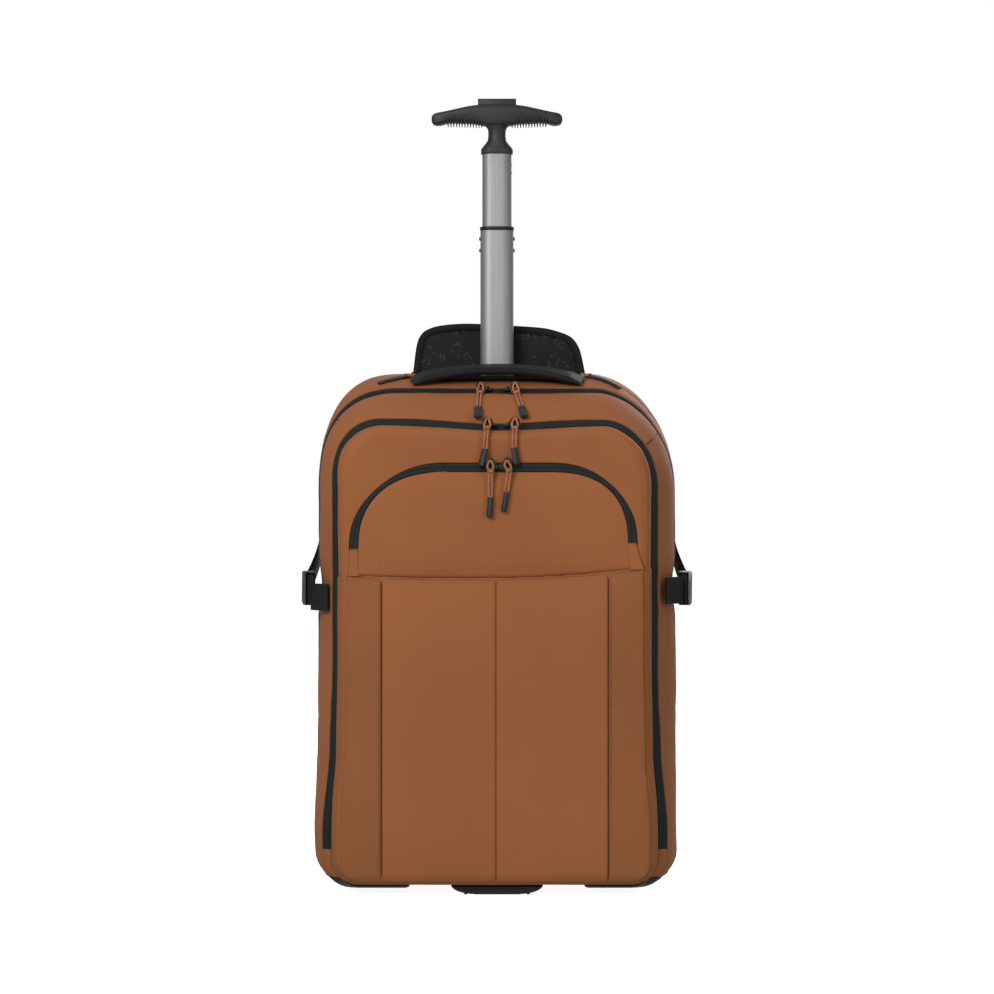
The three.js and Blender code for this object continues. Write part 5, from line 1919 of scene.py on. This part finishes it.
for side, sign in (("left", -1), ("right", 1)):
    v = sideStraps
    obj = modelSocket(f"buckleSocket_{side}")
    setBuckle(obj, sign, -11.2)
    finishPiece(obj, blackPlastic, stands=(f"buckle_socket_{side}",), angle=40)
    obj = modelPlug(f"bucklePlug_{side}")
    setBuckle(obj, sign, 11.0)
    finishPiece(obj, blackPlastic, stands=(f"buckle_plug_{side}",), angle=40)
    path = smoothPath([place(sign * x, d, v["z"] + (6.5 if sign > 0 else 0)) for x, d in v["front"]], 22)
    layWebbing(f"sideStrapFront_{side}", f"side_strap_{side}", path, (0, 0, 1), v["width"], v["thick"])
    path = smoothPath([place(sign * x, d, z) for x, d, z in v["rear"]], 30)
    layWebbing(f"sideStrapRear_{side}", f"side_strap_rear_{side}", path, (0, -0.55, 0.85), v["width"],
               v["thick"])
print("Stage: sliders, straps and buckles")

# ---- moulded guards round the lower front corners

cornerGuard = {"thick": 3.1, "sideThick": 1.3, "gap": 0.2, "start": 14, "end": 100, "from": 84, "high": 15}


def shapeGuard(side):
    v = cornerGuard
    sign = -1 if side == "left" else 1
    rows = []
    depths = [v["start"] + (v["end"] - v["start"]) * i / 30 for i in range(31)]
    for d in depths:
        chain = [p for p in ring(d, -v["gap"] - 0.1) if p.x * sign > 0]
        # from the bottom's middle outwards and up
        chain = chain[::-1] if chain[0].z > chain[-1].z else chain
        kept = []
        for a, b in zip(chain, chain[1:]):
            if abs(a.x) < v["from"] * mm <= abs(b.x) and b.z < 0.03:
                kept.append(a.lerp(b, (v["from"] * mm - abs(a.x)) / (abs(b.x) - abs(a.x))))
            if a.z < v["high"] * mm <= b.z:
                kept.append(b.copy())
                kept[-1].z = v["high"] * mm
                break
            if abs(b.x) >= v["from"] * mm:
                kept.append(b)
        rows.append(resample(kept, 40))
    rib = (7, 11, 15, 19, 23)

    def lift(r, c, p):
        edge = min(r, 30 - r, c, 39 - c)
        under = clamp((14 - p.z / mm) / 6)
        proud = (v["sideThick"] + (v["thick"] - v["sideThick"]) * under) * (1 - 0.45 * bell(edge, 1.1))
        groove = 0.7 * max(bell(r - k, 0.8) for k in rib) if 3 < c < 36 else 0.0
        return (proud - groove) * mm

    obj = clothSheet(f"cornerGuard_{side}", rows, lift=lift)
    thicken(obj, 1.5 * mm)
    return finishPiece(obj, blackPlastic, stands=(f"corner_guard_{side}",), angle=45)


shapeGuard("left")
shapeGuard("right")

# ---- centre foot with a few ridges

centreFoot = {"ridge": (3.2, 25, 1.0), "depth": 32, "z": 0.55, "ridges": (-30, -20, -10, 0, 10, 20, 30)}


def modelFoot():
    foot = dressedCopy("centre_foot", "centreFoot", 0.6)
    ridges = []
    for x in centreFoot["ridges"]:
        ridge = startBlock("tread", centreFoot["ridge"], (x, centreFoot["depth"] + frontY, centreFoot["z"]))
        editFaces(ridge, lambda f: f.normal.z > 0.9)
        bpy.ops.transform.resize(value=(0.7, 1, 1))
        leaveEdit()
        ridges.append(bevelled(ridge, 0.25, 1))
    obj = joinPieces("centreFoot", [foot, *ridges])
    return finishPiece(obj, wheelRubber, stands=("centre_foot",), angle=40)


modelFoot()

# ---- wheels and their housings

wheels = {
    "x": 129, "depth": 191, "z": 31, "rubberFrom": 23.1, "spokes": 6,
    "spoke": (13.6, 3.0, 10.2), "spokeZ": 15.6,
    "cap": {"radius": 6.2, "high": 1.4, "out": 16.6},
    # radius, place along the axle
    "profile": ((4.5, -10.0), (9.5, -10.0), (10.5, -9.2), (10.8, -6.2), (20.2, -6.2), (21.0, -8.6),
                (22.4, -9.6),
                (22.9, -8.7), (23.4, -10.2), (27.8, -10.5), (29.6, -9.8), (30.6, -8.6), (31.0, -7.0),
                (31.0, -4.6),
                (29.9, -4.2), (29.9, -3.2), (31.0, -2.8), (31.0, 2.8), (29.9, 3.2), (29.9, 4.2), (31.0, 4.6),
                (31.0, 7.0), (30.6, 8.6), (29.6, 9.8), (27.8, 10.5), (23.4, 10.2), (22.9, 8.7), (22.4, 9.6),
                (21.0, 8.6), (20.2, 6.2), (10.8, 6.2), (10.5, 9.2), (9.5, 10.0), (4.5, 10.0)),
}


def modelWheel(side):
    v = wheels
    sign = -1 if side == "left" else 1
    centre = place(sign * v["x"], v["depth"], v["z"])
    turned = [centre + Vector((h, 0, r)) * mm for r, h in v["profile"]]
    profile = newObject(f"wheel_{side}_turned", turned, [])
    mesh = bmesh.new()
    mesh.from_mesh(profile.data)
    mesh.verts.ensure_lookup_table()
    for i in range(len(v["profile"])):
        mesh.edges.new((mesh.verts[i], mesh.verts[(i + 1) % len(v["profile"])]))
    mesh.to_mesh(profile.data)
    mesh.free()
    pick(profile)
    enterEdit("VERT")
    bpy.ops.mesh.spin(steps=64, angle=2 * math.pi, center=tuple(centre), axis=(1, 0, 0))
    bpy.ops.mesh.select_all(action="SELECT")
    bpy.ops.mesh.remove_doubles(threshold=0.00001)
    bpy.ops.mesh.normals_make_consistent(inside=False)
    leaveEdit()
    for face in profile.data.polygons:
        reach = ((face.center.y - centre.y) ** 2 + (face.center.z - centre.z) ** 2) ** 0.5 / mm
        face.material_index = 0 if reach > v["rubberFrom"] else 1
    spoke = startBlock("spoke", v["spoke"])
    editFaces(spoke, lambda f: f.normal.z > 0.9)
    bpy.ops.transform.resize(value=(1, 1.5, 1))
    leaveEdit()
    bevelled(spoke, 0.5, 1)
    spokes = []
    for k in range(v["spokes"]):
        one = cloneOf(spoke, "spokeCopy")
        one.data.transform(Matrix.Translation(centre) @ Matrix.Rotation(2 * math.pi * k / v["spokes"], 4, "X")
                           @ Matrix.Translation((0, 0, v["spokeZ"] * mm)))
        for face in one.data.polygons:
            face.material_index = 1
        spokes.append(one)
    bpy.data.objects.remove(spoke)
    for one in (*spokes, profile):
        one.data.materials.append(wheelRubber)
        one.data.materials.append(blackPlastic)
    obj = joinPieces(f"wheelTurned_{side}", [profile, *spokes])
    pick(obj)
    bpy.ops.object.shade_smooth_by_angle(angle=math.radians(35))
    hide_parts(f"wheel_{side}")
    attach(obj, f"wheel_{side}_body")
    # axle cap on the housing's outer cheek
    at = place(sign * (v["x"] + v["cap"]["out"]), v["depth"], v["z"])
    cap = startDisc(f"axleCap_{side}", v["cap"]["radius"], v["cap"]["high"], at, 32)
    editFaces(cap, lambda f: f.normal.x * sign > 0.9)
    press(1.6, -0.5)
    press(1.4, 0.4)
    leaveEdit()
    bevelled(cap, 0.3, 2)
    finishPiece(cap, blackPlastic, angle=40)


for side in ("left", "right"):
    obj = dressedCopy(f"wheel_housing_{side}", f"wheelHousing_{side}", 0.7)
    finishPiece(obj, blackPlastic, stands=(f"wheel_housing_{side}",), angle=35)
    modelWheel(side)
print("Stage: guards, foot and wheels")

# ---- padded back and shoulder straps

backPanel = {"width": 266, "high": 380, "thick": 13, "corner": 38, "z": 287, "depth": 169.4, "voxel": 5.0,
             "cap": 6.0, "channels": (-46, 46), "rungs": (402, 330, 258, 186)}
shoulderStraps = {
    "back": 178.3, "voxel": 3.6, "cap": 5.0,
    "route": ((42, 7.4, 466), (50, 11.4, 420), (66, 13.4, 360), (84, 14.4, 300), (98, 12.4, 240),
    (104, 8.0, 196)),
    "width": (60, 38), "thick": (9.5, 7.5),
    "lower": ((106.5, 4.2, 166), (110, 3.4, 148), (116, 2.6, 126), (122, 1.8, 104)),
}


def puffed(obj, voxel, cap, pressure=4.0):
    # blow the pad up a little, hold every point near where it started, then smooth it once
    addModifier(obj, "REMESH", mode="VOXEL", voxel_size=voxel * mm)
    applyModifiers(obj)
    before = [v.co.copy() for v in obj.data.vertices]
    cloth = addModifier(obj, "CLOTH")
    cloth.settings.use_pressure = True
    cloth.settings.uniform_pressure_force = pressure
    cloth.settings.effector_weights.gravity = 0
    cloth.settings.quality = 4
    cloth.point_cache.frame_start = 1
    cloth.point_cache.frame_end = 20
    scene = bpy.context.scene
    for step in range(1, 21):
        scene.frame_set(step)
    pick(obj)
    bpy.ops.object.modifier_apply(modifier=cloth.name)
    scene.frame_set(1)
    for v, old in zip(obj.data.vertices, before):
        move = v.co - old
        if move.length > cap * mm:
            v.co = old + move.normalized() * cap * mm
    addModifier(obj, "SMOOTH", factor=0.5, iterations=6)
    addModifier(obj, "SUBSURF", levels=1, render_levels=1)
    applyModifiers(obj)
    return obj


def shapeBackPanel():
    v = backPanel
    outline = []
    for corner in range(4):
        cx = (v["width"] / 2 - v["corner"]) * (1 if corner in (0, 3) else -1)
        cz = (v["high"] / 2 - v["corner"]) * (1 if corner in (0, 1) else -1)
        for i in range(9):
            angle = math.pi / 2 * (corner + i / 8)
            outline.append((cx + v["corner"] * math.cos(angle), cz + v["corner"] * math.sin(angle)))
    points = [place(x, v["depth"] + s * v["thick"] / 2, v["z"] + z) for s in (-1, 1) for x, z in outline]
    count = len(outline)
    faces = [list(range(count)), list(range(2 * count - 1, count - 1, -1))]
    faces += [[i, i + count, (i + 1) % count + count, (i + 1) % count] for i in range(count)]
    obj = newObject("backPad", points, faces)
    turnOutward(obj)
    puffed(obj, v["voxel"], v["cap"])
    # painted shade: the pressed-in channels, rungs and edge are darkened in step with their depth
    seamAndShadeMark = obj.data.attributes.new("seam", "FLOAT", "POINT")
    near = place(0, 160.4, 0).y
    far = place(0, 179.3, 0).y
    for i, vert in enumerate(obj.data.vertices):
        x, z = vert.co.x / mm, vert.co.z / mm
        side = max(abs(x) - v["width"] / 2 + 12, abs(z - v["z"]) - v["high"] / 2 + 12)
        line = max(max(bell(x - at, 2.6) for at in v["channels"]),
                   max(bell(z - at, 2.4) for at in v["rungs"]) * (1.0 if abs(x) > 46 else 0.0),
                   bell(side, 2.2))
        if vert.co.y > place(0, v["depth"], 0).y:
            vert.co.y -= 4.2 * mm * line
            seamAndShadeMark.data[i].value = 0.6 * line ** 3
        vert.co.y = min(far, max(near, vert.co.y))
    finishPiece(obj, meshCloth, stands=("back_panel",), angle=70)


def shapeShoulderStrap(side):
    v = shoulderStraps
    sign = -1 if side == "left" else 1
    path = smoothPath([place(sign * x, v["back"] + y, z) for x, y, z in v["route"]], 40)
    w0, w1 = v["width"]
    t0, t1 = v["thick"]
    stations = strapStations(path, (1, 0, 0), lambda t: w0 + (w1 - w0) * t, lambda t: t0 + (t1 - t0) * t)
    obj = strapBody(f"shoulderStrap_{side}", stations, 28, 3.4)
    obj.data.uv_layers.remove(obj.data.uv_layers[0])
    puffed(obj, v["voxel"], v["cap"], pressure=3.0)
    seamAndShadeMark = obj.data.attributes.new("seam", "FLOAT", "POINT")
    for i, vert in enumerate(obj.data.vertices):
        k = min(range(len(stations)), key=lambda j: abs(stations[j][0].z - vert.co.z))
        at, sideways, normal, width, thick = stations[k]
        across = abs((vert.co - at).dot(sideways)) / mm
        up = (vert.co - at).dot(normal)
        # painted shade: the groove near each edge is darkened in step with its depth
        groove = bell(across - (width / 2 - 6.5), 1.8)
        vert.co -= normal * math.copysign(1.6 * mm * groove, up) * min(1.0, abs(up) / (2 * mm))
        seamAndShadeMark.data[i].value = 0.55 * groove ** 2
    finishPiece(obj, meshCloth, stands=(f"shoulder_strap_{side}",), angle=70)


def modelAdjuster(side):
    # a ladder lock: two rails and three bars
    v = shoulderStraps
    sign = -1 if side == "left" else 1
    x, depth, z = sign * 105.5, v["back"] + 5.5, 180
    parts = []
    for turn in (-1, 1):
        rail = startBlock("rail", (4.4, 5, 22), (x + turn * 14.8, depth + frontY, z))
        editFaces(rail, lambda f: f.normal.z < -0.9)
        bpy.ops.transform.resize(value=(0.8, 0.8, 1))
        leaveEdit()
        parts.append(bevelled(rail, 1.0, 3))
    for dz, thick in ((9.0, 3.4), (0.5, 3.2), (-8.6, 3.8)):
        bar = startBlock("bar", (27, thick, 3.8), (x, depth + frontY, z + dz))
        editFaces(bar, lambda f: f.normal.y > 0.9)
        press(0.9, -0.3)
        leaveEdit()
        parts.append(bevelled(bar, 0.8, 2))
    obj = joinPieces(f"strapAdjuster_{side}", parts)
    finishPiece(obj, blackPlastic, stands=(f"strap_adjuster_{side}",), angle=40)
    path = smoothPath([place(sign * a, v["back"] + b, c) for a, b, c in v["lower"]], 24)
    layWebbing(f"strapWebbing_{side}", f"strap_webbing_{side}", path, (1, 0, 0), 25, 1.7)


shapeBackPanel()
for side in ("left", "right"):
    shapeShoulderStrap(side)
    modelAdjuster(side)
print("Stage: back and shoulder straps")

print("Stage: done")
